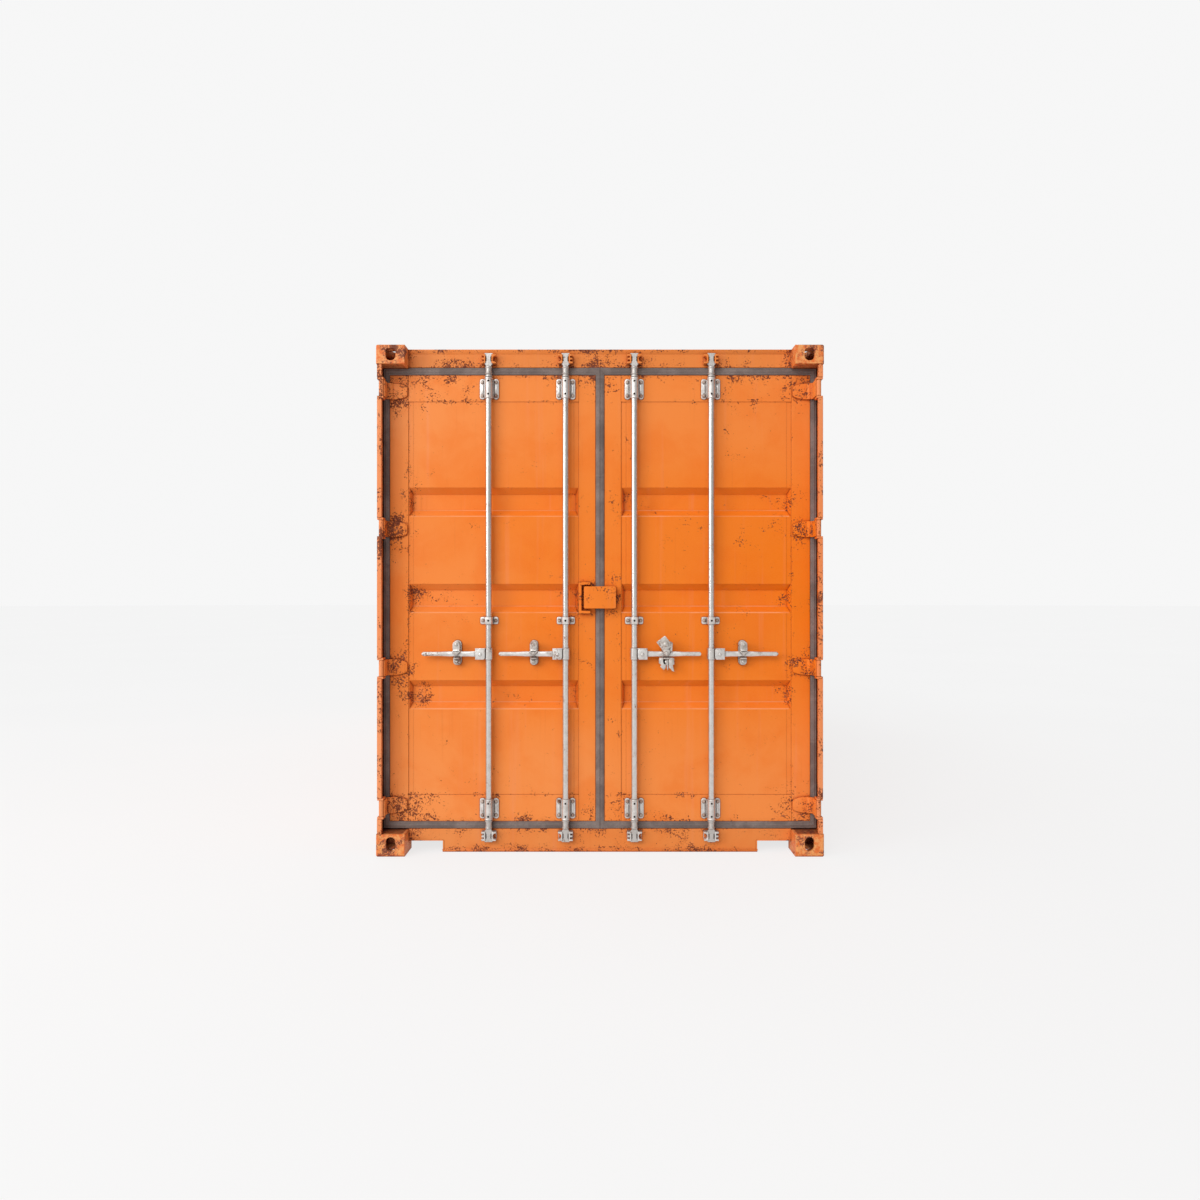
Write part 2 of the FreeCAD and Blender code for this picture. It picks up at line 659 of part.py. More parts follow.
def leaf_gasket():
    """Rubber band round the leaf, lower where it passes under the casting."""
    front = GASKET_FRONT
    back = front + GASKET_DEEP
    out_x = POST_WALL_X - 2 * GASKET_CLEAR
    low = SILL_TOP + GASKET_CLEAR
    high = HEADER_LOW - GASKET_CLEAR
    outer = block(GASKET_CENTRE_CLEAR, out_x, front, back, low, high)
    under_casting = block(CASTING_IN_X - GASKET_CASTING_CLEAR, out_x, front, back,
                          POST_HIGH - GASKET_CASTING_CLEAR, high)
    leaf = block(LEAF_IN_X, LEAF_OUT_X, front, back, LEAF_LOW, LEAF_HIGH)
    return outer.cut([under_casting, leaf])


# ---------------------------------------------------------------- hinge blades
def hinge_blade(z):
    """Strap on the leaf, bridging the gasket, with a barrel round the pin."""
    leg_out = POST_IN_X - BLADE_CLEAR
    leg_in = leg_out - BLADE_THICK
    tip_x = LEAF_OUT_X - HINGE_REACH
    bridge_back = GASKET_FRONT - GASKET_CLEAR
    bridge_front = bridge_back - BLADE_THICK
    strap_front = LEAF_FACE - BLADE_THICK
    section = [(tip_x, LEAF_FACE), (tip_x, strap_front), (LEAF_OUT_X - 2 * BLADE_THICK, strap_front),
               (LEAF_OUT_X - BLADE_THICK, bridge_front), (leg_in, bridge_front), (leg_in, PIN_DEPTH),
               (leg_out, PIN_DEPTH), (leg_out, bridge_back), (LEAF_OUT_X - BLADE_CLEAR, bridge_back),
               (LEAF_OUT_X - BLADE_THICK, LEAF_FACE)]
    half = HINGE_TALL / 2
    tip = HINGE_TIP_TALL / 2
    strap = plan_prism(section, z - half, z + half)
    shoulder_x = LEAF_OUT_X - BLADE_THICK
    outline = [(leg_out, z - half), (leg_out, z + half), (shoulder_x, z + half),
               (tip_x, z + tip), (tip_x, z - tip), (shoulder_x, z - half)]
    strap = strap.common(front_prism(outline, 0, LEAF_BACK))
    barrel = upright(BARREL_R, PIN_X, PIN_DEPTH, z - half, z + half)
    bore = upright(PIN_R + PIN_CLEAR, PIN_X, PIN_DEPTH, z - half - 1, z + half + 1)
    return join([strap, barrel]).cut(bore)


# ---------------------------------------------------------------- lock rods
def cam_outline(x, end, up):
    """Hourglass cam seen from the front; up is 1 when the rod continues upwards."""
    collar_mid = CAM_COLLAR_LOW + CAM_COLLAR_TALL / 2
    steps = [(0, CAM_END_HALF - CAM_CORNER), (CAM_CORNER, CAM_END_HALF), (CAM_END_TALL, CAM_END_HALF),
             (CAM_WAIST_LOW, CAM_WAIST_HALF), (CAM_WAIST_HIGH, CAM_WAIST_HALF),
             (CAM_FLARE_LOW, CAM_FLARE_HALF), (CAM_FLARE_HIGH, CAM_FLARE_HALF),
             (CAM_NECK_START, CAM_NECK_HALF), (collar_mid, CAM_NECK_HALF)]
    right = [(x + half, end + up * rise) for rise, half in steps]
    left = [(x - half, end + up * rise) for rise, half in steps]
    return right + left[::-1]


def lock_rod(x):
    """Rod with a cam at each end and the handle's hub, all one welded piece."""
    low = CAM_BOTTOM + CAM_COLLAR_LOW
    high = CAM_TOP - CAM_COLLAR_LOW
    pieces = [upright(ROD_R, x, ROD_DEPTH, low, high)]
    for end, up in ((CAM_BOTTOM, 1), (CAM_TOP, -1)):
        outline = cam_outline(x, end, up)
        pieces.append(front_prism(outline, ROD_DEPTH - CAM_HALF_DEPTH, ROD_DEPTH + CAM_HALF_DEPTH))
        collar = sorted((end + up * CAM_COLLAR_LOW, end + up * (CAM_COLLAR_LOW + CAM_COLLAR_TALL)))
        pieces.append(upright(CAM_COLLAR_R, x, ROD_DEPTH, collar[0], collar[1]))
    hub_low = HANDLE_Z - HUB_TALL / 2
    hub_high = HANDLE_Z + HUB_TALL / 2
    pieces.append(upright(HUB_R, x, ROD_DEPTH, hub_low, hub_high))
    handle_back = HANDLE_FRONT + HANDLE_THICK
    pieces.append(block(x, x + HUB_REACH, handle_back, ROD_DEPTH + HUB_BACK_HALF, hub_low, hub_high))
    seat = block(x + HANDLE_ROOT_IN, x + HUB_REACH, ROD_DEPTH - HUB_R - 1, handle_back, hub_low, hub_high)
    return join(pieces).cut(seat)


def handle(x):
    """Flat bar bolted to the front of the hub, tapering to its tip."""
    root = HANDLE_ROOT_TALL / 2
    tip = HANDLE_TIP_TALL / 2
    near = x + HANDLE_ROOT_IN
    far = x + HANDLE_TIP
    outline = [(near, HANDLE_Z - root), (x + HUB_REACH, HANDLE_Z - root), (far, HANDLE_Z - tip),
               (far, HANDLE_Z + tip), (x + HUB_REACH, HANDLE_Z + root), (near, HANDLE_Z + root)]
    return front_prism(outline, HANDLE_FRONT, HANDLE_FRONT + HANDLE_THICK)


def keeper(x, waist_z):
    """Two lugs with a nub each, which hold the cam's waist between them."""
    low = waist_z - KEEPER_TALL / 2
    high = waist_z + KEEPER_TALL / 2
    nub_low = waist_z - KEEPER_NUB_TALL / 2
    nub_high = waist_z + KEEPER_NUB_TALL / 2
    pieces = [block(x - KEEPER_NUB_IN, x + KEEPER_NUB_IN, KEEPER_BACK_FRONT, FRAME_FACE, nub_low, nub_high)]
    for side in (-1, 1):
        lug = sorted((x + side * KEEPER_LUG_IN, x + side * KEEPER_HALF))
        nub = sorted((x + side * KEEPER_NUB_IN, x + side * KEEPER_LUG_IN))
        pieces.append(block(lug[0], lug[1], KEEPER_FRONT, FRAME_FACE, low, high))
        pieces.append(block(nub[0], nub[1], KEEPER_FRONT, FRAME_FACE, nub_low, nub_high))
    return join(pieces)


def keepers(is_top):
    waist = (CAM_WAIST_LOW + CAM_WAIST_HIGH) / 2
    z = CAM_TOP - waist if is_top else CAM_BOTTOM + waist
    return [keeper(x, z) for x in ROD_XS]


# ---------------------------------------------------------------- rod brackets
def rod_bearing(x, z, wide, tall, corner_r, seat):
    """Bolted plate on the leaf with a bearing barrel round the rod; seat is the depth it is bolted to."""
    low = z - tall / 2
    high = z + tall / 2
    plate = rounded_block(x - wide / 2, x + wide / 2, seat - BRACKET_PLATE, seat, low, high, corner_r)
    barrel = upright(BRACKET_BARREL_R, x, ROD_DEPTH, low, high)
    web = block(x - BRACKET_WEB / 2, x + BRACKET_WEB / 2, ROD_DEPTH, seat, low, high)
    bore = upright(ROD_R + ROD_CLEAR, x, ROD_DEPTH, low - 1, high + 1)
    return join([plate, barrel, web]).cut(bore)


def rod_brackets():
    found = []
    for x in ROD_XS:
        for z in (LEAF_HIGH - UPPER_BRACKET_DROP, LEAF_LOW + LOWER_BRACKET_RISE):
            found.append(rod_bearing(x, z, BRACKET_WIDE, BRACKET_TALL, BRACKET_CORNER_R, LEAF_FACE))
        found.append(rod_bearing(x, GUIDE_Z, GUIDE_WIDE, GUIDE_TALL, GUIDE_CORNER_R, crown_face()))
    return found


# ---------------------------------------------------------------- handle rests and catches
def handle_rest(x):
    """Bolted plate with a shelf under the handle and a stud for the catch."""
    middle = HANDLE_Z + REST_RISE
    back = crown_face()
    plate_front = back - REST_PLATE
    plate = rounded_block(x - REST_WIDE / 2, x + REST_WIDE / 2, plate_front, back, middle - REST_TALL / 2,
                          middle + REST_TALL / 2, REST_WIDE / 2 - 1)
    shelf_top = HANDLE_Z - HANDLE_ROOT_TALL / 2 - HANDLE_ROOM
    shelf = block(x - REST_WIDE / 2, x + REST_WIDE / 2, REST_SHELF_FRONT, plate_front,
                  shelf_top - REST_SHELF, shelf_top)
    pivot_z = HANDLE_Z + CATCH_PIVOT_RISE
    peg = stud(CATCH_STUD_R, x, pivot_z, CATCH_FRONT, plate_front)
    boss = stud(CATCH_BOSS_R, x, pivot_z, CATCH_FRONT + CATCH_PLATE + CATCH_SEAT_GAP, plate_front)
    return join([plate, shelf, peg, boss])


def handle_catch(x):
    """Flap that hangs on the rest's stud, above the handle."""
    pivot_z = HANDLE_Z + CATCH_PIVOT_RISE
    low = HANDLE_Z + HANDLE_ROOT_TALL / 2 + HANDLE_ROOM
    flap = rounded_block(x - CATCH_WIDE / 2, x + CATCH_WIDE / 2, CATCH_FRONT, CATCH_FRONT + CATCH_PLATE, low,
                         pivot_z + CATCH_TOP_RISE, CATCH_TOP_RISE / 2)
    hole = stud(CATCH_STUD_R + CATCH_STUD_CLEAR, x, pivot_z, CATCH_FRONT - 1, CATCH_FRONT + CATCH_PLATE + 1)
    return flap.cut(hole)


# ---------------------------------------------------------------- lock box and guard
def lock_box():
    """Hood over the padlock space, open below and towards the other leaf."""
    low = LOCK_Z - LOCK_BOX_TALL / 2
    high = LOCK_Z + LOCK_BOX_TALL / 2
    inner_x = LOCK_BOX_CENTRE_CLEAR
    plate = LOCK_BOX_PLATE
    front = block(inner_x, LOCK_BOX_HALF, LOCK_BOX_FRONT, LOCK_BOX_FRONT + plate, low, high)
    side = block(LOCK_BOX_HALF - plate, LOCK_BOX_HALF, LOCK_BOX_FRONT, LEAF_FACE, low, high)
    top = block(LEAF_IN_X, LOCK_BOX_HALF, LOCK_BOX_FRONT, LEAF_FACE, high - plate, high)
    return join([front, side, top])


def lock_guard():
    """C-shaped bar on edge round the lock box on the -X leaf, open towards the centre."""
    low = LOCK_Z - GUARD_DROP - GUARD_TALL / 2
    high = low + GUARD_TALL
    outer = block(-GUARD_OUTER_X, -GUARD_INNER_X, GUARD_FRONT, LEAF_FACE, low, high)
    inner = block(-GUARD_OUTER_X + GUARD_BAR, -GUARD_INNER_X, GUARD_FRONT, LEAF_FACE,
                  low + GUARD_BAR, high - GUARD_BAR)
    return outer.cut(inner)


# ---------------------------------------------------------------- assembly
def save_frame():
    save("top_corner_castings", four_corners(casting(True)))
    save("bottom_corner_castings", four_corners(casting(False)))
    save("door_corner_posts", both_sides([door_post()]))
    save("end_corner_posts", both_sides([end_post()]))
    save("door_header", [header()])
    save("door_sill", [sill()])
    save("end_top_rail", [end_top_rail()])
    save("end_bottom_rail", [end_bottom_rail()])
    save("top_side_rails", both_sides([top_side_rail()]))
    save("bottom_side_rails", both_sides([bottom_side_rail()]))
    save("right_side_wall", [side_wall()])
    save("left_side_wall", [mirrored_x(side_wall())])
    save("end_wall", [end_wall()])
    save("roof", [roof()])
    save("floor", [floor()])
    save("cross_members", cross_members())
    save("forklift_pockets", [fork_pocket(span) for span in pocket_spans()])
    save("top_cam_keepers", both_sides(keepers(True)))
    save("bottom_cam_keepers", both_sides(keepers(False)))
    save("hinge_lugs", both_sides(hinge_lugs()))
    save("hinge_pins", both_sides(hinge_pins()))


def save_leaves():
    leaf = {
        "stiles": leaf_stiles(),
        "rails": leaf_rails(),
        "panel": [leaf_panel()],
        "gasket": [leaf_gasket()],
        "hinge_blades": [hinge_blade(z) for z in hinge_heights()],
        "rod_brackets": rod_brackets(),
        "handle_rests": [handle_rest(x + REST_FROM_ROD) for x in ROD_XS],
    }
    for name, shapes in leaf.items():
        save("right_door_" + name, shapes)
        save("left_door_" + name, [mirrored_x(shape) for shape in shapes])
    save("right_door_lock_box", [lock_box()])
    save("left_door_lock_guard", [lock_guard()])


def save_locks():
    for place, x in zip(("inner", "outer"), ROD_XS):
        lock = {"lock_rod": lock_rod(x), "handle": handle(x), "handle_catch": handle_catch(x + REST_FROM_ROD)}
        for name, shape in lock.items():
            save("right_" + place + "_" + name, [shape])
            save("left_" + place + "_" + name, [mirrored_x(shape)])


def main():
    os.makedirs("parts", exist_ok=True)
    save_frame()
    save_leaves()
    save_locks()


main()
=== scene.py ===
import json
import math
import random

import bmesh
import bpy
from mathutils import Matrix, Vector


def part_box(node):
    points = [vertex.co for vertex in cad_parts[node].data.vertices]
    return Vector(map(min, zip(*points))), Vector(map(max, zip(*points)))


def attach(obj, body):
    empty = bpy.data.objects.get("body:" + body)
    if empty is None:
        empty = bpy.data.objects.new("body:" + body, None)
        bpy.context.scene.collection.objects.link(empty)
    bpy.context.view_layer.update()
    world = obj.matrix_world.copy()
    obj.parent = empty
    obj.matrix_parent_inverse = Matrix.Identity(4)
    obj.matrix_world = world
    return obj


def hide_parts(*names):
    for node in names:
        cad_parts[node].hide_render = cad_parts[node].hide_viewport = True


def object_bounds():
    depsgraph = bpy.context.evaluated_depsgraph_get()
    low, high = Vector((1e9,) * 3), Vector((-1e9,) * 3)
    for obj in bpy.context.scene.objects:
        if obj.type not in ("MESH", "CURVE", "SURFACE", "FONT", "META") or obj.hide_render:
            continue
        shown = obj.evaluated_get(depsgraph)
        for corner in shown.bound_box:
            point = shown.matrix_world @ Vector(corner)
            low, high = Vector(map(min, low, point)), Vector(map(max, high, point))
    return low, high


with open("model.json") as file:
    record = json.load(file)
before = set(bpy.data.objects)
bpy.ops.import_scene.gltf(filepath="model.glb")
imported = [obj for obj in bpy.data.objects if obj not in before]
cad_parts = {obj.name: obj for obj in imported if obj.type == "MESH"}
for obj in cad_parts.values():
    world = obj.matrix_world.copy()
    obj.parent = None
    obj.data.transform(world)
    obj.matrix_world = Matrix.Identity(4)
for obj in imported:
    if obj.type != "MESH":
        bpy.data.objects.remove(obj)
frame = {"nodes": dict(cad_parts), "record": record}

CAD_LO, CAD_HI = [Vector(v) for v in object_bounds()]
FRONT = CAD_LO.y
scene = bpy.context.scene
JOINTS = {j["name"]: j for j in frame["record"]["behaviour"]["joints"]}
SIDES = (("left", -1), ("right", 1))
MM = 0.001
BEVEL_ANGLE = math.radians(32)

# the leaves, in metres: their middle height, then heights up and down from it
MID_Z = 1.407
HINGE_X, HINGE_HIGH, HINGE_STEP = 1.13, 0.765, 0.3825  # the hinges stand a step above and below HINGE_HIGH
CORNER_HIGH = 1.21
GROOVE_STEP, GROOVE_HALF, GROOVE_FLOOR = 0.536, 0.0795, 0.0445

# the hardware, in millimetres, with depths behind the casting faces
ROD_DEPTH = 78.0
ROD_BORE = 17.25
NOTCH_WIDE, NOTCH_TOP = 190.0, 60.0
SILL_TOP = 121.0
POST_WELD = (1190.0, 1213.0)
STOP_DEPTH = 104.5
VENT_LOW, VENT_HIGH, VENT_INSET = 2440.0, 2560.0, 520.0


# -------------------- reading the frame
def in_mm(lo, hi):
    """A box in millimetres as (x, depth behind the casting faces, z)."""
    return tuple(Vector((v[0], v[1] - FRONT, v[2])) / MM for v in (lo, hi))


def islands(node):
    """Boxes (lo, hi) of a node's separate solids."""
    mesh = frame["nodes"][node].data
    key = {}
    owner = []
    for v in mesh.vertices:
        owner.append(key.setdefault(tuple(round(c, 5) for c in v.co), len(key)))
    parent = list(range(len(key)))

    def root(i):
        while parent[i] != i:
            parent[i] = parent[parent[i]]
            i = parent[i]
        return i

    for p in mesh.polygons:
        first = root(owner[p.vertices[0]])
        for v in p.vertices[1:]:
            parent[root(owner[v])] = first
    groups = {}
    for v, o in zip(mesh.vertices, owner):
        groups.setdefault(root(o), []).append(v.co)
    boxes = [in_mm(*([pick(p[i] for p in pts) for i in range(3)] for pick in (min, max))) for pts in groups.values()]
    return sorted(boxes, key=lambda b: (round(b[0].x), round(b[0].z)))


def node_box(node):
    return in_mm(*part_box(node))


# -------------------- building meshes
def around(steps):
    """Cosine and sine of even steps round a circle."""
    return [(math.cos(2 * math.pi * k / steps), math.sin(2 * math.pi * k / steps)) for k in range(steps)]


class Metal:
    """Gathers solids into one mesh. Millimetres: x times side, depth behind the casting faces, z."""

    def __init__(self, side=1):
        self.bm = bmesh.new()
        self.side = side

    def take(self, part, bevel=0.0, segments=2, mat=0):
        if bevel:
            edges = [e for e in part.edges if len(e.link_faces) == 2 and e.calc_face_angle(0) > BEVEL_ANGLE]
            bmesh.ops.bevel(part, geom=edges, offset=bevel, segments=segments, affect="EDGES", profile=0.5,
                            clamp_overlap=True)
        for f in part.faces:
            f.material_index = mat
        mesh = bpy.data.meshes.new("part")
        part.to_mesh(mesh)
        part.free()
        self.bm.from_mesh(mesh)
        bpy.data.meshes.remove(mesh)

    def prism(self, low, high, bevel, segments=2, mat=0):
        """A solid between two matching outlines."""
        part = bmesh.new()
        a = [part.verts.new(p) for p in low]
        b = [part.verts.new(p) for p in high]
        part.faces.new(a)
        part.faces.new(list(reversed(b)))
        for i in range(len(a)):
            j = (i + 1) % len(a)
            part.faces.new((a[j], a[i], b[i], b[j]))
        bmesh.ops.recalc_face_normals(part, faces=part.faces)
        self.take(part, bevel, segments, mat=mat)

    def slab(self, outline, front, back, bevel, segments=2, mat=0):
        """A plate facing the camera side: outline of (x, z)."""
        self.prism([(x, front, z) for x, z in outline], [(x, back, z) for x, z in outline], bevel, segments, mat)

    def plan(self, outline, z0, z1, bevel):
        """A solid with a level outline of (x, depth)."""
        self.prism([(x, d, z0) for x, d in outline], [(x, d, z1) for x, d in outline], bevel)

    def profile(self, outline, x0, x1, bevel, segments=2):
        """A solid whose outline of (depth, z) runs across the container."""
        self.prism([(x0, d, z) for d, z in outline], [(x1, d, z) for d, z in outline], bevel, segments)

    def block(self, lo, hi):
        self.slab([(lo[0], lo[2]), (hi[0], lo[2]), (hi[0], hi[2]), (lo[0], hi[2])], lo[1], hi[1], 1.6)

    def loft(self, rings, closed=False, mat=0):
        """A skin through matching rings of points; its ends are capped unless it closes on itself."""
        part = bmesh.new()
        rows = [[part.verts.new(p) for p in ring] for ring in rings]
        count = len(rows[0])
        pairs = list(zip(rows, rows[1:]))
        if closed:
            pairs.append((rows[-1], rows[0]))
        for a, b in pairs:
            for i in range(count):
                j = (i + 1) % count
                part.faces.new((a[i], a[j], b[j], b[i]))
        if not closed:
            part.faces.new(rows[0])
            part.faces.new(list(reversed(rows[-1])))
        bmesh.ops.recalc_face_normals(part, faces=part.faces)
        self.take(part, mat=mat)

    def turned(self, x, d, outline, steps):
        """A closed outline of (radius, z) turned about an upright axis."""
        self.loft([[(x + r * c, d + r * q, z) for r, z in outline] for c, q in around(steps)], closed=True)

    def stud(self, x, z, base, outline, mat=0):
        """A head standing forward from a plate at depth base: outline of (radius, height), last radius above 0."""
        self.loft([[(x + r * c, base - h, z + r * q) for c, q in around(20)] for r, h in outline], mat=mat)

    def post(self, x, z, back, front, r):
        """A round post from a plate forward."""
        self.stud(x, z, back, [(r * 1.25, 0), (r * 1.25, 3), (r, 5), (r, back - front - 1), (r * 0.9, back - front)])

    def bolt(self, x, z, base, r, h):
        """A domed bolt on a washer, in the third finish of its piece."""
        self.stud(x, z, base, [(r * 1.35, -1), (r * 1.35, h * 0.22), (r * 1.24, h * 0.3), (r, h * 0.34),
                               (r, h * 0.55), (r * 0.9, h * 0.78), (r * 0.66, h * 0.94), (r * 0.3, h)], mat=2)

    def rivet(self, x, z, base, r, h=4.2):
        self.stud(x, z, base, [(r, -1), (r, h * 0.25), (r * 0.93, h * 0.55), (r * 0.72, h * 0.85), (r * 0.4, h)])

    def pit(self, x, z, front, r=6.0):
        """A small hole: a low rim with a floor in the second finish of its piece, which paints the unlit depth of the
        hole as dark shade.
        """
        self.stud(x, z, front, [(r * 1.35, -1.5), (r * 1.35, 0.3), (r * 1.12, 0.5), (r, 0.4)])
        self.stud(x, z, front, [(r, 0.2), (r * 0.9, 0.55)], mat=1)

    def bead(self, points, r, seed):
        """A lumpy weld run along points of (x, depth, z)."""
        rng = random.Random(seed)
        track = [Vector(p) for p in points]
        spots = []
        for a, b in zip(track, track[1:]):
            n = max(2, int((b - a).length / 6.0))
            spots += [a.lerp(b, i / n) for i in range(n)]
        spots.append(track[-1])
        rings = []
        for i, p in enumerate(spots):
            ahead = spots[min(i + 1, len(spots) - 1)] - spots[max(i - 1, 0)]
            side = ahead.cross(Vector((0.31, 0.87, 0.39))).normalized()
            up = side.cross(ahead).normalized()
            size = r * (0.82 + 0.3 * (i % 2) + rng.uniform(-0.08, 0.08))
            rings.append([p + side * size * c + up * size * q for c, q in around(7)])
        self.loft(rings)


def rounded(x0, x1, z0, z1, r, n=6):
    """A rectangle's outline with rounded corners."""
    x0, x1 = sorted((x0, x1))
    r = min(r, (x1 - x0) / 2 - 0.01, (z1 - z0) / 2 - 0.01)
    out = []
    for cx, cz, a0 in ((x1 - r, z1 - r, 0), (x0 + r, z1 - r, 90), (x0 + r, z0 + r, 180), (x1 - r, z0 + r, 270)):
        for i in range(n + 1):
            a = math.radians(a0 + 90 * i / n)
            out.append((cx + r * math.cos(a), cz + r * math.sin(a)))
    return out


def at(x, z, outline):
    """An outline moved to a place."""
    return [(x + px, z + pz) for px, pz in outline]


def turn(outline, degrees, x, z):
    c, s = math.cos(math.radians(degrees)), math.sin(math.radians(degrees))
    return [(x + c * (px - x) - s * (pz - z), z + s * (px - x) + c * (pz - z)) for px, pz in outline]


def piece(name, metal, body, materials, replaces=(), sharp=34):
    """Makes the object, gives it its finish and lets it ride on its body."""
    for v in metal.bm.verts:
        v.co = Vector((v.co.x * metal.side * MM, FRONT + v.co.y * MM, v.co.z * MM))
    bmesh.ops.recalc_face_normals(metal.bm, faces=metal.bm.faces)
    mesh = bpy.data.meshes.new(name)
    metal.bm.to_mesh(mesh)
    metal.bm.free()
    for p in mesh.polygons:
        p.use_smooth = True
    mesh.set_sharp_from_angle(angle=math.radians(sharp))
    for m in materials:
        mesh.materials.append(m)
    obj = bpy.data.objects.new(name, mesh)
    scene.collection.objects.link(obj)
    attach(obj, body)
    if replaces:
        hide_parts(*replaces)


def painted(name, metal, body, replaces=()):
    """A piece in the door end's paint."""
    piece(name, metal, body, [FRONT_PAINT], replaces)


# -------------------- materials
def rgb(text):
    """A linear colour from a hexadecimal one."""
    out = []
    for i in (0, 2, 4):
        c = int(text[i:i + 2], 16) / 255
        out.append(c / 12.92 if c <= 0.04045 else ((c + 0.055) / 1.055) ** 2.4)
    return (*out, 1.0)


class Nodes:
    """Adds nodes to a tree. A value is a number, a colour or another node's output."""

    def __init__(self, tree):
        self.tree = tree

    def put(self, socket, value):
        if isinstance(value, bpy.types.NodeSocket):
            self.tree.links.new(value, socket)
        else:
            socket.default_value = value

    def node(self, kind, **inputs):
        """A new node, with its inputs filled by name."""
        node = self.tree.nodes.new("ShaderNode" + kind)
        for name, value in inputs.items():
            self.put(node.inputs[name.replace("_", " ")], value)
        return node


class Finish(Nodes):
    """A node material, written as sums on the object's own coordinates in metres."""

    def __init__(self, name):
        self.mat = bpy.data.materials.new(name)
        self.mat.use_nodes = True
        super().__init__(self.mat.node_tree)
        self.tree.nodes.clear()
        self.shader = self.node("BsdfPrincipled")
        self.node("OutputMaterial", Surface=self.shader.outputs[0])
        self.where = self.node("TexCoord").outputs["Object"]
        self.x, self.y, self.z = self.node("SeparateXYZ", Vector=self.where).outputs

    def math(self, operation, *values):
        node = self.node("Math")
        node.operation = operation
        for socket, value in zip(node.inputs, values):
            self.put(socket, value)
        return node.outputs[0]

    def add(self, a, b):
        return self.math("ADD", a, b)

    def minus(self, a, b):
        return self.math("SUBTRACT", a, b)

    def times(self, a, b):
        return self.math("MULTIPLY", a, b)

    def size(self, value):
        return self.math("ABSOLUTE", value)

    def apart(self, a, b):
        """The distance between two numbers."""
        return self.size(self.minus(a, b))

    def most(self, *values):
        out = values[0]
        for v in values[1:]:
            out = self.math("MAXIMUM", out, v)
        return out

    def ease(self, value, lo, hi, start=0.0, end=1.0):
        """A smooth change from start to end, as value goes from lo to hi."""
        node = self.node("MapRange", Value=value, From_Min=lo, From_Max=hi, To_Min=start, To_Max=end)
        node.interpolation_type = "SMOOTHSTEP"
        return node.outputs[0]

    def noise(self, scale, detail=3.0, rough=0.55, distortion=0.0):
        """Noise at one scale, or streaks at one for each axis."""
        where = self.where
        if isinstance(scale, tuple):
            stretch = self.node("VectorMath")
            stretch.operation = "MULTIPLY"
            self.put(stretch.inputs[0], where)
            self.put(stretch.inputs[1], scale)
            where, scale = stretch.outputs[0], 1.0
        return self.node("TexNoise", Vector=where, Scale=scale, Detail=detail, Roughness=rough,
                         Distortion=distortion).outputs[0]

    def line(self, value, place, half):
        """1 on a line, falling to 0 at half its width."""
        return self.ease(self.apart(value, place), 0.0, half, 1.0, 0.0)

    def spot(self, a, b, pa, pb, r):
        """1 at a point, falling to 0 at distance r."""
        da, db = self.minus(a, pa), self.minus(b, pb)
        far = self.math("SQRT", self.add(self.times(da, da), self.times(db, db)))
        return self.ease(far, 0.0, r, 1.0, 0.0)

    def crevice_shade(self, reach):
        """1 in corners and under edges, 0 on open faces: an occlusion mask that paints shade where it darkens a
        colour.
        """
        node = self.node("AmbientOcclusion", Distance=reach)
        node.samples = 6
        return self.ease(node.outputs["AO"], 0.45, 0.95, 1.0, 0.0)

    def mix(self, part, a, b):
        """Colour a where part is 0 and b where it is 1."""
        node = self.node("Mix")
        node.data_type = "RGBA"
        self.put(node.inputs[0], part)
        self.put(node.inputs[6], rgb(a) if isinstance(a, str) else a)
        self.put(node.inputs[7], rgb(b) if isinstance(b, str) else b)
        return node.outputs[2]

    def lay(self, colour, part, share=None):
        """Lays a colour over the ones so far, where part is 1."""
        if share is not None:
            part = self.times(part, share)
        self.colour = self.mix(part, self.colour, colour)

    def wash(self, colour, value, lo, hi, share=1.0):
        """Lays a share of a colour over the ones so far, growing as value goes from lo to hi."""
        self.lay(colour, self.ease(value, lo, hi, 0.0, share))

    def bump(self, height, distance, strength, before=None):
        node = self.node("Bump", Strength=strength, Distance=distance, Height=height)
        if before is not None:
            self.put(node.inputs["Normal"], before)
        return node.outputs[0]

    def set(self, **values):
        names = {"rough": "Roughness", "metal": "Metallic", "normal": "Normal", "specular": "Specular IOR Level"}
        self.put(self.shader.inputs["Base Color"], self.colour)
        for k, v in values.items():
            self.put(self.shader.inputs[names[k]], v)
        return self.mat


ORANGE = "F0780C"
FADED = "F3924E"
DEEP = "EA6A06"
STAIN = "C4571D"
RUST = "8A4A32"
RUST_DARK = "5A2B22"
RUST_PALE = "B8704F"
# painted shade, laid in corners and under edges
CREVICE_SHADE = "A83A08"


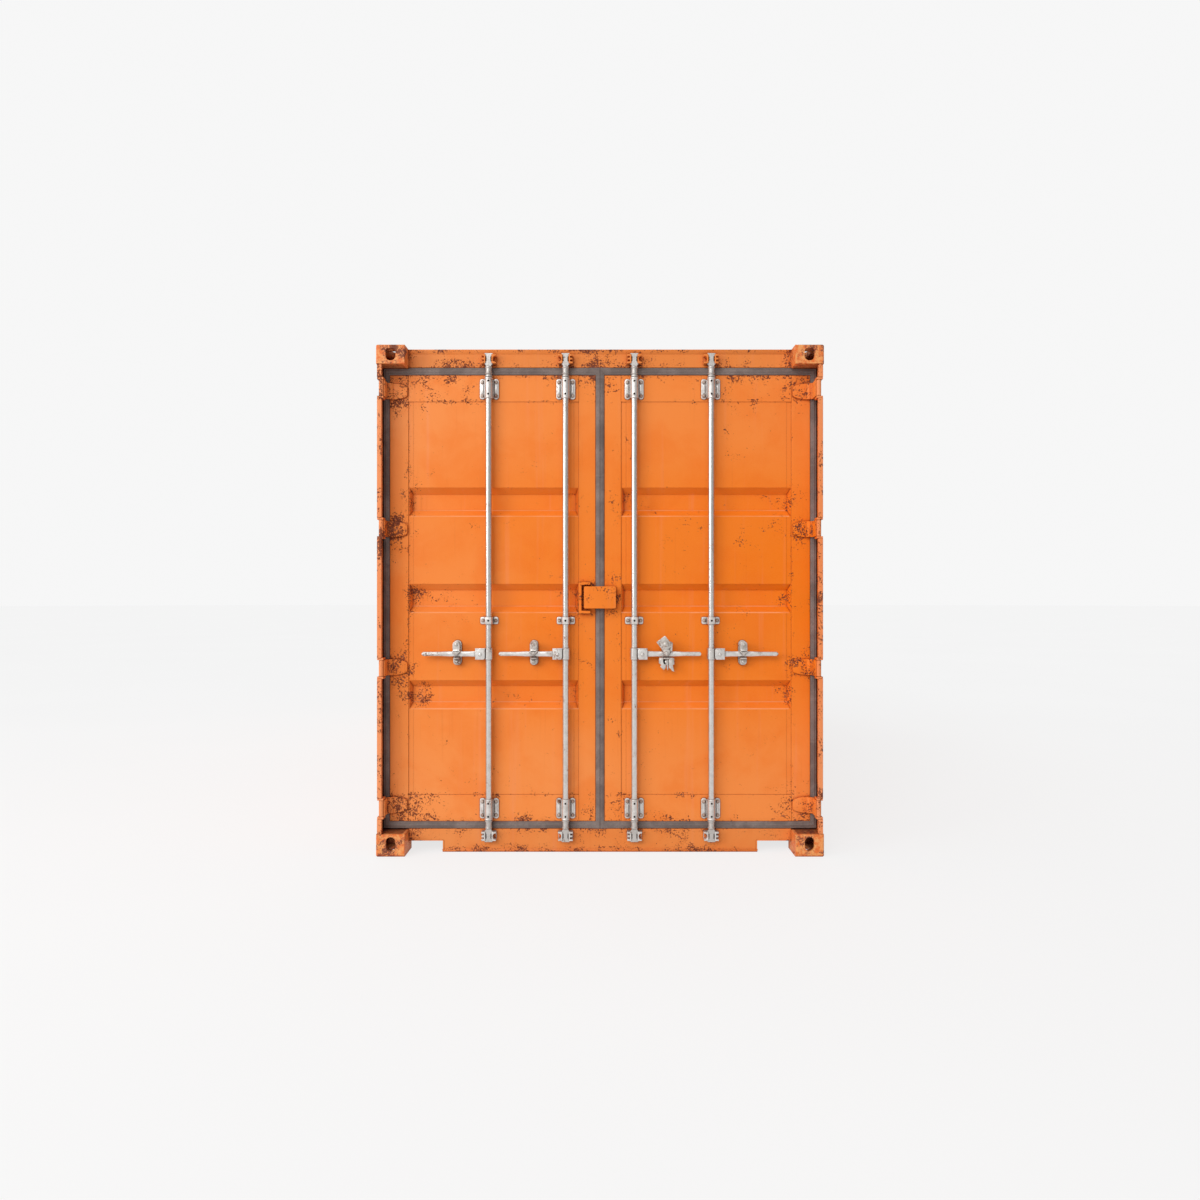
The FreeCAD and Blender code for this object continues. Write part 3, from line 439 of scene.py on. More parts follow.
def front_spread(g):
    """Where rust gathers on the door end, 0 to 1."""
    ax = g.size(g.x)
    b = g.apart(g.z, MID_Z)
    hinge = g.apart(b, HINGE_HIGH)
    less = g.times(g.ease(g.x, -0.3, 0.3, 1.0, 0.87), g.ease(g.y, FRONT + 0.055, FRONT + 0.075, 0.66, 1.0))
    return g.times(less, g.most(
        g.times(g.spot(ax, b, HINGE_X, CORNER_HIGH, 0.38), g.ease(g.z, 0.5, 2.0, 0.86, 0.95)),
        g.times(g.spot(ax, hinge, HINGE_X, HINGE_STEP, 0.19), 0.95),
        g.times(g.line(b, 1.262, 0.12), 0.86),
        g.times(g.ease(g.z, 0.0, 0.085, 1.0, 0.0), 0.86),
        g.times(g.line(g.z, 2.781, 0.030), 0.75),
        g.times(g.spot(ax, g.z, 0.05, 1.415, 0.20), g.ease(g.y, FRONT + 0.062, FRONT + 0.072, 0.60, 1.20)),
        g.times(g.spot(ax, b, 0.05, 1.24, 0.22), 0.80),
        g.times(g.spot(ax, b, 1.03, 0.0, 0.13), 0.60),
        g.times(g.spot(ax, b, 1.03, GROOVE_STEP, 0.17), 0.86),
        g.times(g.spot(ax, b, 0.13, GROOVE_STEP, 0.11), 0.66),
        g.times(g.line(ax, 1.065, 0.030), 0.50),
        g.times(g.line(b, 1.093, 0.030), 0.56),
        g.times(g.ease(ax, 1.178, 1.190), g.ease(b, 0.80, 1.15, 0.90, 1.32)),
    ))


def body_spread(g):
    """Where rust gathers on the walls, rails and roof, 0 to 1."""
    ax = g.size(g.x)
    ay = g.size(g.y)
    return g.most(
        g.times(g.ease(g.z, 0.02, 0.30, 1.0, 0.0), 0.78),
        g.times(g.ease(g.z, 2.60, 2.76, 0.0, 1.0), 0.42),
        g.times(g.ease(ay, 2.80, 2.95, 0.0, 1.0), g.ease(g.z, 0.2, 1.5, 0.50, 0.26)),
        g.times(g.ease(ax, 1.196, 1.208, 0.0, 1.0), 0.30),
        0.08)


def paint(name, spread, front):
    """Weathered orange paint with chips of rust, stains and vertical streaks, with painted shade in corners and under
    edges, and on the door end painted highlights along the groove bends.
    """
    g = Finish(name)
    broad = g.noise(0.85, 3, 0.6)
    patch = g.noise(3.6, 4, 0.6, 0.4)
    fine = g.noise(170, 2, 0.5)
    streak = g.noise((19, 19, 0.65), 3, 0.6)
    thin = g.noise((70, 70, 2.2), 2, 0.5)
    fade = g.ease(broad, 0.36, 0.66, 0.0, 0.34)
    if front:
        fade = g.times(fade, g.ease(g.x, -0.2, 0.4, 1.0, 0.35))
        fade = g.add(fade, g.ease(g.x, -1.3, 0.2, 0.38, 0.0))
        fade = g.add(fade, g.ease(g.z, 0.30, 1.05, 0.62, 0.0))
        fade = g.add(fade, g.ease(g.z, 1.85, 2.50, 0.0, 0.48))
    else:
        fade = g.add(fade, 0.10)
    g.colour = g.mix(fade, ORANGE, FADED)
    g.wash(DEEP, patch, 0.42, 0.68, 0.34)
    g.wash("EE9A78", streak, 0.56, 0.78, 0.20)
    g.wash(STAIN, thin, 0.62, 0.80, 0.12)
    g.wash(FADED, fine, 0.3, 0.7, 0.10)
    if front:
        flange = g.times(g.ease(g.size(g.x), 1.172, 1.188, 0.0, 0.46),
                         g.ease(g.y, FRONT + 0.012, FRONT + 0.030, 1.0, 0.15))
        g.lay("E79A72", flange)
        rail = g.most(g.ease(g.z, 2.684, 2.692), g.ease(g.z, 0.128, 0.137, 1.0, 0.0))
        g.lay("C27C48", rail, 0.26)
    # painted shade: a red-orange darkening near corners and under edges, which also lets rust gather a little there
    deep = g.crevice_shade(0.022)
    g.lay(CREVICE_SHADE, deep, 0.62)
    if front:
        # painted shadow: a dark brown line where parts meet
        g.lay("6E2A14", g.crevice_shade(0.008), 0.70)
        # painted highlight: pale lines along the bends of the pressed grooves
        turns = g.math("FRACT", g.times(g.add(g.z, 1.5 * GROOVE_STEP - MID_Z), 1 / GROOVE_STEP))
        offset = g.times(g.minus(turns, 0.5), GROOVE_STEP)
        bend_highlight = g.most(g.line(offset, -GROOVE_HALF, 0.0050), g.times(g.line(offset, -GROOVE_FLOOR, 0.0045), 0.7))
        leaf = g.times(g.ease(g.z, 2.0, 2.2, 1.0, 0.0), g.ease(g.size(g.x), 1.050, 1.055, 1.0, 0.0))
        bend_highlight = g.times(bend_highlight, g.times(g.ease(g.y, FRONT + 0.1112, FRONT + 0.1122), leaf))
        g.lay("FDB989", bend_highlight, g.ease(patch, 0.35, 0.6, 0.25, 0.60))

    where = spread(g)
    grain = g.noise(106, 3.5, 0.68, 0.25)
    group = g.noise(12, 3, 0.6, 0.3)
    drift = g.noise(3.1, 2, 0.5)
    level = g.add(grain, g.add(g.times(g.minus(group, 0.5), 0.70), g.times(g.minus(drift, 0.5), 0.45)))
    level = g.add(level, g.add(g.times(where, 0.248), g.times(deep, 0.02)))
    chip = g.ease(level, 0.752, 0.766)
    halo = g.ease(level, 0.720, 0.758)
    weep = g.times(g.ease(thin, 0.45, 0.75), g.ease(where, 0.3, 1.0))
    g.lay(STAIN, halo, 0.36)
    g.lay(STAIN, weep, 0.20)
    tone = g.noise(210, 3, 0.6)
    rust = g.mix(g.ease(tone, 0.35, 0.68), RUST_DARK, RUST)
    rust = g.mix(g.ease(g.noise(46, 3, 0.6), 0.50, 0.72, 0.0, 0.75), rust, RUST_PALE)
    g.lay(rust, chip, 0.96)
    rough = g.add(g.ease(patch, 0.3, 0.7, 0.40, 0.52), g.times(chip, 0.36))
    wave = g.bump(g.noise(2.6, 2, 0.5), 0.010, 0.35)
    skin = g.bump(g.noise(420, 2, 0.5), 0.0004, 0.30, wave)
    flake = g.bump(g.add(g.times(chip, -1.0), g.times(g.times(tone, chip), 0.8)), 0.0012, 0.9, skin)
    return g.set(rough=rough, normal=flake, specular=0.15)


def casting_paint():
    """Cast steel under thin paint: mottled all over, with dark patches, and painted shade in its corners and inside
    its holes.
    """
    g = Finish("casting_paint")
    ax = g.size(g.x)
    grain = g.noise(105, 4, 0.70, 0.6)
    patch = g.noise(14, 3, 0.6, 0.4)
    wash = g.noise(40, 4, 0.62)
    g.colour = g.mix(g.ease(wash, 0.38, 0.60), "E2702C", "EFA05C")
    level = g.add(grain, g.times(g.minus(patch, 0.5), 1.1))
    faces = g.node("SeparateXYZ", Vector=g.node("NewGeometry").outputs["Normal"])
    inside = g.times(g.ease(ax, 1.05, 1.08, 1.0, 0.0), g.ease(g.size(faces.outputs[0]), 0.5, 0.9))
    level = g.add(level, g.times(inside, -0.10))
    g.lay("E8752A", inside, 0.7)
    worn = g.ease(level, 0.49, 0.60)
    dark = g.ease(level, 0.588, 0.628)
    g.lay("C27048", worn, 0.70)
    g.lay(g.mix(g.ease(grain, 0.4, 0.7), RUST_DARK, RUST), dark, 0.92)
    # painted shade in the casting's corners and under its edges
    g.lay(CREVICE_SHADE, g.crevice_shade(0.022), 0.6)
    ay, deep = g.size(g.y), g.apart(g.z, MID_Z)
    # painted shade: the inside of the holes darkened, more strongly lower down
    hollow_shade = g.times(g.ease(ax, 1.200, 1.206, 1.0, 0.0), g.ease(ax, 1.074, 1.080))
    hollow_shade = g.times(hollow_shade, g.times(g.ease(ay, 3.008, 3.016, 1.0, 0.0), g.ease(deep, 1.385, 1.391, 1.0, 0.0)))
    g.lay("4A1E14", hollow_shade, g.ease(g.z, 0.2, 2.6, 0.66, 0.36))
    pits = g.bump(g.noise(160, 4, 0.65), 0.0016, 0.75)
    cast = g.bump(g.noise(48, 3, 0.6), 0.0022, 0.5, pits)
    return g.set(rough=g.ease(level, 0.4, 0.8, 0.50, 0.86), normal=cast, specular=0.4)


def steel(name, base, shade, stain, rough_lo, rough_hi, metal, relief, grain=(520, 520, 36), ends=0.0):
    """Galvanised or pressed steel: cloudy zinc, scratches, and brown specks, with grime and painted shade in corners.
    ends says how dull a rod's ends are.
    """
    g = Finish(name)
    cloud = g.noise(26, 4, 0.65, 0.4)
    spangle = g.node("TexVoronoi", Vector=g.where, Scale=150).outputs["Distance"]
    scratch = g.noise(grain, 3, 0.6)
    speck = g.noise(130, 4, 0.7, 0.4)
    group = g.noise(15, 3, 0.6)
    g.colour = g.mix(g.ease(cloud, 0.36, 0.66), base, shade)
    g.wash("F2EFEA", spangle, 0.1, 0.6, 0.16)
    g.wash("7C756E", scratch, 0.60, 0.78, 0.40)
    level = g.add(speck, g.times(g.minus(group, 0.5), 1.1))
    chip = g.ease(level, 0.70 - stain, 0.76 - stain)
    halo = g.ease(level, 0.60 - stain, 0.74 - stain)
    g.lay("A98268", halo, 0.38)
    g.lay(g.mix(g.ease(speck, 0.45, 0.75), "5A3A2E", "9A5A3C"), chip, 0.85)
    # painted shade with grime: a dark brown outline in corners and round fixed parts, which also dulls the metal
    grime_and_shade = g.crevice_shade(0.012)
    g.lay("4E3128", grime_and_shade, 0.78)
    rough = g.add(g.ease(cloud, 0.3, 0.7, rough_lo, rough_hi), g.times(g.most(chip, grime_and_shade), 0.35))
    if ends:
        tips = g.times(g.ease(g.apart(g.z, MID_Z), 1.150, 1.165), ends)
        rough = g.add(rough, g.times(tips, 0.26))
        g.lay("938C86", tips, 0.30)
    metallic = g.times(g.minus(1.0, g.times(g.most(chip, grime_and_shade), 0.9)), metal)
    dents = g.bump(g.noise(60, 3, 0.6), 0.0010, 0.35 * relief)
    grit = g.bump(g.add(speck, g.times(chip, -0.6)), 0.0006, 0.6 * relief, dents)
    return g.set(rough=rough, metal=metallic, normal=grit, specular=0.5)


def rubber():
    """Weathered rubber with dust, and painted shade in its channels."""
    g = Finish("rubber")
    dust = g.noise(9, 4, 0.6, 0.3)
    fine = g.noise(240, 3, 0.6)
    rub = g.noise((5, 5, 60), 3, 0.6)
    g.colour = g.mix(g.ease(dust, 0.35, 0.68), "6E605B", "8A7B75")
    # painted shade: dark colour in the channels and corners of the seal
    g.lay("3A2420", g.crevice_shade(0.008), 0.60)
    g.wash("4C423F", fine, 0.35, 0.7, 0.35)
    g.wash("8B7F78", rub, 0.56, 0.74, 0.35)
    spots = g.ease(g.add(g.noise(95, 3, 0.65), g.times(g.noise(7, 2), 0.5)), 0.93, 1.0)
    g.lay("5A3A30", spots, 0.6)
    skin = g.bump(g.noise(330, 3, 0.6), 0.0006, 0.5)
    return g.set(rough=g.ease(dust, 0.3, 0.7, 0.62, 0.80), normal=skin, specular=0.35)


def floor_board():
    """Scuffed plywood sheets with dark joints and scuffs."""
    g = Finish("floor_board")
    grain = g.noise((60, 3.2, 60), 5, 0.65, 0.6)
    sheet = g.noise(0.9, 1, 0.5)
    dirt = g.noise(2.4, 5, 0.65, 0.6)
    scuff = g.noise((26, 2.0, 26), 4, 0.7, 0.3)
    g.colour = g.mix(g.ease(grain, 0.34, 0.68), "8A5D3A", "B98A5B")
    g.wash("6E452A", sheet, 0.4, 0.6, 0.35)
    g.wash("4A3424", dirt, 0.46, 0.74, 0.60)
    g.wash("C7A784", scuff, 0.60, 0.76, 0.45)
    joint = g.ease(g.apart(g.math("FRACT", g.times(g.y, 1 / 1.2)), 0.5), 0.0, 0.004, 1.0, 0.0)
    lane = g.ease(g.apart(g.math("FRACT", g.add(g.times(g.x, 1 / 1.16), 0.5)), 0.5), 0.0, 0.004, 1.0, 0.0)
    seam = g.most(joint, lane)
    g.lay("1E140E", seam, 0.9)
    relief = g.bump(g.add(g.times(grain, 0.25), g.times(seam, -1.0)), 0.0015, 0.8)
    return g.set(rough=g.ease(dirt, 0.3, 0.7, 0.62, 0.86), normal=relief, specular=0.3)


def underframe():
    """Black underframe coating, dusty, with rust coming through."""
    g = Finish("underframe")
    dust = g.noise(5, 5, 0.65, 0.5)
    speck = g.add(g.noise(70, 4, 0.7, 0.4), g.times(g.noise(6, 3), 0.6))
    g.colour = g.mix(g.ease(dust, 0.35, 0.72), "2A2624", "5B5048")
    g.lay("6B3B26", g.ease(speck, 0.86, 0.94), 0.8)
    relief = g.bump(g.noise(120, 4, 0.65), 0.0012, 0.6)
    return g.set(rough=g.ease(dust, 0.3, 0.7, 0.70, 0.90), normal=relief, specular=0.3)


def dark():
    """The unlit inside of small holes."""
    g = Finish("painted_hole_shade")
    n = g.noise(90, 3, 0.6)
    g.colour = g.mix(n, "140D0B", "241815")
    return g.set(rough=g.ease(n, 0.2, 0.8, 0.80, 0.95), specular=0.1)


FRONT_PAINT = paint("front_paint", front_spread, True)
BODY_PAINT = paint("body_paint", body_spread, False)
CASTING = casting_paint()
STEEL = steel("galvanised", "DAD6D2", "BEB9B4", 0.0, 0.36, 0.48, 0.70, 0.30)
WORN_STEEL = steel("hardware", "CFC8C1", "9F968D", 0.058, 0.32, 0.50, 0.55, 1.0)
ROD = steel("lock_rod", "D2CECA", "C4BFBA", -0.045, 0.20, 0.27, 0.86, 0.03, (240, 240, 2.4), 1.0)
RUSTY = steel("rusty_bolt", "B3A497", "94705C", 0.110, 0.40, 0.60, 0.40, 1.0)
RUBBER = rubber()
FLOOR = floor_board()
UNDER = underframe()
DARK = dark()


# -------------------- the CAD pieces that stay
def dress(node, material, bevel=0.0, segments=2, flat=False):
    """Gives a CAD node its finish, and softens its edges; flat merges each flat face first, for wide bevels."""
    obj = frame["nodes"][node]
    if not obj.data.materials:
        obj.data.materials.append(material)
    for s in obj.material_slots:
        s.link = "OBJECT"
        s.material = material
    if bevel:
        obj.modifiers.new("weld", "WELD").merge_threshold = 0.00002
        if flat:
            merge = obj.modifiers.new("flat_faces", "DECIMATE")
            merge.decimate_type = "DISSOLVE"
            merge.angle_limit = math.radians(1.0)
        soft = obj.modifiers.new("soft_edges", "BEVEL")
        soft.width = bevel * MM
        soft.segments = segments
        soft.limit_method = "ANGLE"
        soft.angle_limit = BEVEL_ANGLE
        obj.modifiers.new("shading", "WEIGHTED_NORMAL")


for node, bevel in (("door_corner_posts", 2.5), ("door_header", 2.0), ("door_sill", 2.0), ("hinge_lugs", 1.2)):
    dress(node, FRONT_PAINT, bevel)
for node in ("top_corner_castings", "bottom_corner_castings"):
    dress(node, CASTING, 11.0, 4, flat=True)
for node, bevel in (("end_corner_posts", 3.0), ("end_top_rail", 2.0), ("end_bottom_rail", 2.0),
                    ("top_side_rails", 3.0), ("bottom_side_rails", 1.5), ("left_side_wall", 0),
                    ("right_side_wall", 0), ("end_wall", 0), ("roof", 0)):
    dress(node, BODY_PAINT, bevel)
for node in ("cross_members", "forklift_pockets"):
    dress(node, UNDER, 1.0)
dress("floor", FLOOR, 1.5)
dress("hinge_pins", WORN_STEEL)
for side, s in SIDES:
    dress(side + "_door_stiles", FRONT_PAINT, 3.0)
    dress(side + "_door_rails", FRONT_PAINT, 2.0)
    dress(side + "_door_panel", FRONT_PAINT)
    for place in ("inner", "outer"):
        dress("%s_%s_lock_rod" % (side, place), ROD, 1.0)
dress("left_door_lock_guard", FRONT_PAINT, 2.2, 3)


# -------------------- door seals
def seal(side, s):
    """A lipped rubber frame round the leaf, with a rounded centre ridge and mitred corners."""
    node = side + "_door_gasket"
    lo, hi = node_box(node)
    stiles = node_box(side + "_door_stiles")
    x_out, x_in = max(abs(lo.x), abs(hi.x)), min(abs(lo.x), abs(hi.x)) - 2.6
    leaf_out = max(abs(stiles[0].x), abs(stiles[1].x))
    leaf_in = min(abs(stiles[0].x), abs(stiles[1].x))
    front, back = lo.y, hi.y
    # across the seal from the leaf's edge: its share of the width, and the depth behind its front along the
    # outer edges and along the joint of the leaves, where the two seals make one rounded band
    across = [(0.0, 99, 99), (0.0, 8, 9), (0.05, 4.6, 7.4), (0.12, 2.8, 6.2), (0.20, 2.0, 5.2), (0.25, 2.9, 4.6),
              (0.30, 2.8, 4.0), (0.36, 1.2, 3.4), (0.43, 0.5, 2.7), (0.50, 0.2, 2.1), (0.57, 0.4, 1.6),
              (0.64, 1.0, 1.2), (0.70, 2.6, 0.9), (0.75, 2.9, 0.65), (0.81, 1.8, 0.4), (0.88, 2.2, 0.2),
              (0.95, 3.8, 0.05), (1.0, 7, 0.0), (1.0, 99, 99)]
    casting = islands("top_corner_castings")[0]
    roof = casting[0].z - 2
    corners = [((leaf_out, stiles[0].z), (x_out, lo.z)), ((leaf_out, stiles[1].z), (x_out, hi.z)),
               ((leaf_in, stiles[1].z), (x_in, hi.z)), ((leaf_in, stiles[0].z), (x_in, lo.z))]
    rng = random.Random(7 + s)
    rings = []
    for k in range(4):
        (ix, iz), (ox, oz) = corners[k]
        (jx, jz), (px, pz) = corners[(k + 1) % 4]
        steps = 34 if k % 2 == 0 else 16
        spots = [i / steps for i in range(steps)]
        if k == 1:
            under = (x_out - abs(casting[1].x)) / (x_out - x_in)
            spots = sorted(spots + [under - 0.003, under + 0.001])
        for t in spots:
            dent = 0.0 if t == 0 else rng.uniform(0.0, 0.7)
            joint = (0.0, (t - 0.93) / 0.07, 1.0, 1.0 - t / 0.07)[k]
            joint = max(0.0, min(1.0, joint))
            ring = []
            for u, edge, middle in across:
                ax, az = ix + (ox - ix) * u, iz + (oz - iz) * u
                bx, bz = jx + (px - jx) * u, jz + (pz - jz) * u
                d = min(back, front + edge + (middle - edge) * joint + dent)
                z = az + (bz - az) * t
                if k == 0 or (k == 1 and t < under):
                    z = min(z, roof)
                ring.append((ax + (bx - ax) * t, d, z))
            rings.append(ring)
    m = Metal(s)
    m.loft(rings, closed=True)
    piece(side + "_seal", m, side + "_door", [RUBBER], [node], sharp=50)


# -------------------- rod brackets and guides
def rod_bracket(m, x, zc, half, h, face):
    """Two bolted wings and a turned barrel with collars."""
    for sgn in (-1, 1):
        m.slab(rounded(x + sgn * 22.5, x + sgn * half, zc - h + 1, zc + h - 1, 13, 8), face - 6.5, face, 1.4, 3)
        m.slab(rounded(x + sgn * 38 - 5.5, x + sgn * 38 + 5.5, zc - 24, zc + 24, 5, 5), face - 8.6, face - 6, 1.0)
        m.slab(rounded(x + sgn * 15, x + sgn * 25, zc - h + 8, zc + h - 8, 3, 3), ROD_DEPTH + 6, face, 1.0)
        for dz in (-1, 1):
            m.bolt(x + sgn * 38, zc + dz * 38, face - 6.5, 7.8, 7.5)
    r = 20.3
    collar = [(r - 1.2, 0), (r + 1.4, 1.0), (r + 1.8, 2.4), (r + 1.8, 7), (r + 1.2, 8.2), (r, 9.4)]
    m.turned(x, ROD_DEPTH, [(ROD_BORE, zc - h)] + [(out, zc - h + z) for out, z in collar]
             + [(out, zc + h - z) for out, z in reversed(collar)] + [(ROD_BORE, zc + h)], 44)
    for dz in (-36, 36):
        m.pit(x, zc + dz, ROD_DEPTH - r)


def rod_guide(m, x, zc, half, h, face):
    """A small plate with two bolts and a strap over the rod."""
    for sgn in (-1, 1):
        m.slab(rounded(x + sgn * 17.6, x + sgn * half, zc - h, zc + h, 9, 6), face - 5.5, face, 1.3, 3)
        m.bolt(x + sgn * 36, zc, face - 5.5, 7.6, 7.0)
    front = ROD_DEPTH - 21.4
    outline = [(x + 22, face - 3), (x + 21.4, ROD_DEPTH - 6), (x + 16.5, front), (x - 16.5, front),
               (x - 21.4, ROD_DEPTH - 6), (x - 22, face - 3), (x - ROD_BORE, face - 3)]
    for a in range(0, 181, 12):
        outline.append((x - ROD_BORE * math.cos(math.radians(a)), ROD_DEPTH - ROD_BORE * math.sin(math.radians(a))))
    outline.append((x + ROD_BORE, face - 3))
    m.plan(outline, zc - h + 0.5, zc + h - 0.5, 0.9)
    m.pit(x, zc, front)


def brackets(side, s):
    node = side + "_door_rod_brackets"
    m = Metal(s)
    for lo, hi in islands(node):
        kind = rod_bracket if hi.z - lo.z > 70 else rod_guide
        kind(m, abs(lo.x + hi.x) / 2, (lo.z + hi.z) / 2, (hi.x - lo.x) / 2, (hi.z - lo.z) / 2, hi.y)
    piece(side + "_rod_brackets", m, side + "_door", [STEEL, DARK, RUSTY], [node])


# -------------------- cam keepers
def prongs(x, z0, tall, away, kind):
    """Outline of a keeper lug beside the cam: prongs that point away from it."""
    if kind == "E":
        pts = [(17, 0), (40, 0), (40, 9), (25, 10), (25, 20), (38, 21), (38, 30), (25, 31), (25, 40), (40, 41),
               (40, 50), (17, 50)]
    else:
        pts = [(17, 0), (41, 0), (41, 8), (31, 9), (25, 15), (23, 25), (25, 34), (31, 40), (42, 42), (42, 50),
               (17, 50)]
    k = tall / 50.0
    return [(x + away * px, z0 + pz * k) for px, pz in pts]


def keepers(node, name, material):
    """Pronged lugs each side of every cam, on a painted plate."""
    m = Metal(1)
    for lo, hi in islands(node):
        x = (lo.x + hi.x) / 2
        inner = abs(x) < 400
        outward = 1 if x > 0 else -1
        for away in (-1, 1):
            kind = "E" if (away == outward) != inner else "C"
            m.slab(prongs(x, lo.z, hi.z - lo.z, away, kind), lo.y + 4, hi.y - 6, 1.6, 3)
        m.slab(rounded(lo.x + 3, hi.x - 3, lo.z + 2, hi.z - 2, 6), hi.y - 8, hi.y, 1.2, mat=1)
        for x, seed in ((lo.x + 2, 3), (hi.x - 2, 4)):
            m.bead([(x, hi.y - 1, lo.z + 3), (x, hi.y - 1, hi.z - 3)], 2.6, seed)
    piece(name, m, "root", [material, FRONT_PAINT], [node])


# -------------------- handles, rests and catches
def lock_places(side):
    """For each lock of a leaf: its name, rod distance and catch distance from the centre, and their heights."""
    for place in ("inner", "outer"):
        p = "%s_%s" % (side, place)
        rod = JOINTS[p + "_rod_turn"]["pos_m"]
        catch = JOINTS[p + "_catch_swing"]["pos_m"]
        yield p, abs(rod[0]) / MM, abs(catch[0]) / MM, rod[2] / MM, catch[2] / MM


def handle(p, s, rod_x, z):
    """A forged bar: broad at the hub, with long bulges each side of the catch and a narrow worn grip."""
    node = p + "_handle"
    lo, hi = node_box(node)
    front, back = lo.y, hi.y
    start, tip = sorted((abs(lo.x), abs(hi.x)))
    mid = (front + back) / 2
    rng = random.Random(int(rod_x))
    rings = []
    for i in range(91):
        x = start + (tip - start) * i / 90
        t = x - rod_x
        tall = 33.0 if t < 70 else 33.0 - 4.0 * min(1, (t - 70) / 40) - 5.0 * max(0.0, min(1.0, (t - 215) / 60))
        waist = math.exp(-((t - 176) / 17) ** 2)
        bulge = math.exp(-((abs(t - 176) - 42) / 22) ** 2)
        left = tip - x
        close = 1.0 if left > 11 else math.sqrt(max(0.02, 1 - ((11 - left) / 11.2) ** 2))
        tall = (tall - 5.0 * waist + rng.uniform(-0.25, 0.25)) * close
        deep = (back - front) / 2 * (1.0 - 0.18 * (1 - close))
        ring = []
        for c, q in around(28):
            u = math.copysign(abs(c) ** 0.55, c)
            w = math.copysign(abs(q) ** 0.60, q)
            zz = z + u * tall / 2
            dd = mid + w * deep
            if w < 0:
                ridge = math.exp(-(u / 0.30) ** 2)
                sides = math.exp(-((abs(u) - 0.62) / 0.16) ** 2)
                grip = 1.0 if t > 235 else 0.0
                dd += 2.6 * (1 - ridge) * bulge + 1.6 * (1 - grip) * (1 - bulge) * (0.4 - 0.4 * sides)
                dd += grip * 1.8 * (1 - math.exp(-(u / 0.75) ** 4))
                dd += 1.2 * waist
            ring.append((x, max(front, dd), zz))
        rings.append(ring)
    m = Metal(s)
    m.loft(rings)
    hub = node_box(p + "_lock_rod")
    m.slab(at(rod_x, z, [(18, -22), (26, -31), (71, -31), (71, 28), (18, 28)]),
           hub[0].y - 2.4, hub[0].y + 9, 1.8, 3)
    m.slab(rounded(rod_x + 16, rod_x + 72, z + 26, z + 31, 2), hub[0].y - 3.6, hub[0].y + 14, 1.0)
    m.rivet(rod_x + 44, z - 3, hub[0].y - 2.4, 9.0)
    piece(p + "_handle_bar", m, p + "_rod", [STEEL], [node], sharp=40)


def rod_rings(p, s, rod_x, z_marks):
    """Turned rings on a lock rod, beside its end brackets and its cams."""
    m = Metal(s)
    r = 16.6
    for z, tall, out in z_marks:
        top = z + tall
        ring = [(r, z), (out - 1.2, z), (out, z + 1.6), (out, top - 1.6), (out - 1.2, top), (r, top)]
        m.turned(rod_x, ROD_DEPTH, ring, 32)
    piece(p + "_rod_rings", m, p + "_rod", [ROD])


def capsule(x, z0, z1, half, n=10):
    """An upright outline with a round head and foot."""
    return rounded(x - half, x + half, z0, z1, half, n)


def lobe(x, z0, z1, half, n=10, up=True):
    """An upright outline that is round at one end only."""
    pts = []
    for i in range(n + 1):
        a = math.radians(180 * i / n)
        if up:
            pts.append((x + half * math.cos(a), z1 - half + half * math.sin(a)))
        else:
            pts.append((x - half * math.cos(a), z0 + half - half * math.sin(a)))
    return pts + ([(x - half, z0), (x + half, z0)] if up else [(x + half, z1), (x - half, z1)])


def rests(side, s):
    """Plates behind the handles: rounded ends, rivets, a stud for the catch and a shelf under the handle."""
    node = side + "_door_handle_rests"
    m = Metal(s)
    boxes = sorted(islands(node), key=lambda b: abs(b[0].x + b[1].x))
    for (_, _, x, z, pivot), (lo, hi) in zip(lock_places(side), boxes):
        face = hi.y
        m.slab(capsule(x, lo.z, hi.z, 22), face - 6, face, 1.6, 3)
        m.post(x, pivot, face - 5, lo.y + 7, 10.5)
        shelf = z - 22
        m.profile([(face - 3, shelf - 26), (face - 9, shelf - 26), (face - 14, shelf - 12), (lo.y + 6, shelf - 6),
                   (lo.y + 5, shelf), (face - 3, shelf)], x - 17, x + 17, 1.6, 3)
        m.slab(lobe(x, lo.z + 2, shelf - 5, 19.5, up=False), lo.y + 22, lo.y + 29, 1.8, 3)
        m.slab(rounded(x - 13, x + 13, lo.z + 6, shelf - 8, 8), lo.y + 28, face - 3, 1.6)
        m.rivet(x, lo.z + 20, lo.y + 22, 8.4)
    piece(side + "_handle_rests", m, side + "_door", [WORN_STEEL], [node])


def catch(p, s, x, z, pivot):
    """The swinging flap above a handle, with a folded tongue that hooks over the bar."""
    node = p + "_handle_catch"
    lo, hi = node_box(node)
    m = Metal(s)
    m.slab(lobe(x, z + 20, hi.z, 19.5), lo.y, hi.y, 1.7, 3)
    m.profile([(hi.y, z + 26), (hi.y, z + 14), (hi.y - 3, z + 11), (lo.y - 2.5, z + 11), (lo.y - 2.5, z + 16),
               (lo.y, z + 26)], x - 17, x + 17, 1.5, 3)
    tongue = at(x, z, [(-24, 13), (-17, 8), (-6, -5), (0, -8), (6, -5), (17, 8), (24, 13), (17, 19), (-17, 19)])
    m.slab(tongue, lo.y - 2.5, hi.y - 0.5, 2.0, 3)
    m.slab(capsule(x, z - 3, z + 12, 5.5, 6), lo.y - 4.5, lo.y, 1.4, 3)
    m.rivet(x, pivot, lo.y, 8.6)
    piece(p + "_catch_flap", m, p + "_catch", [WORN_STEEL], [node])


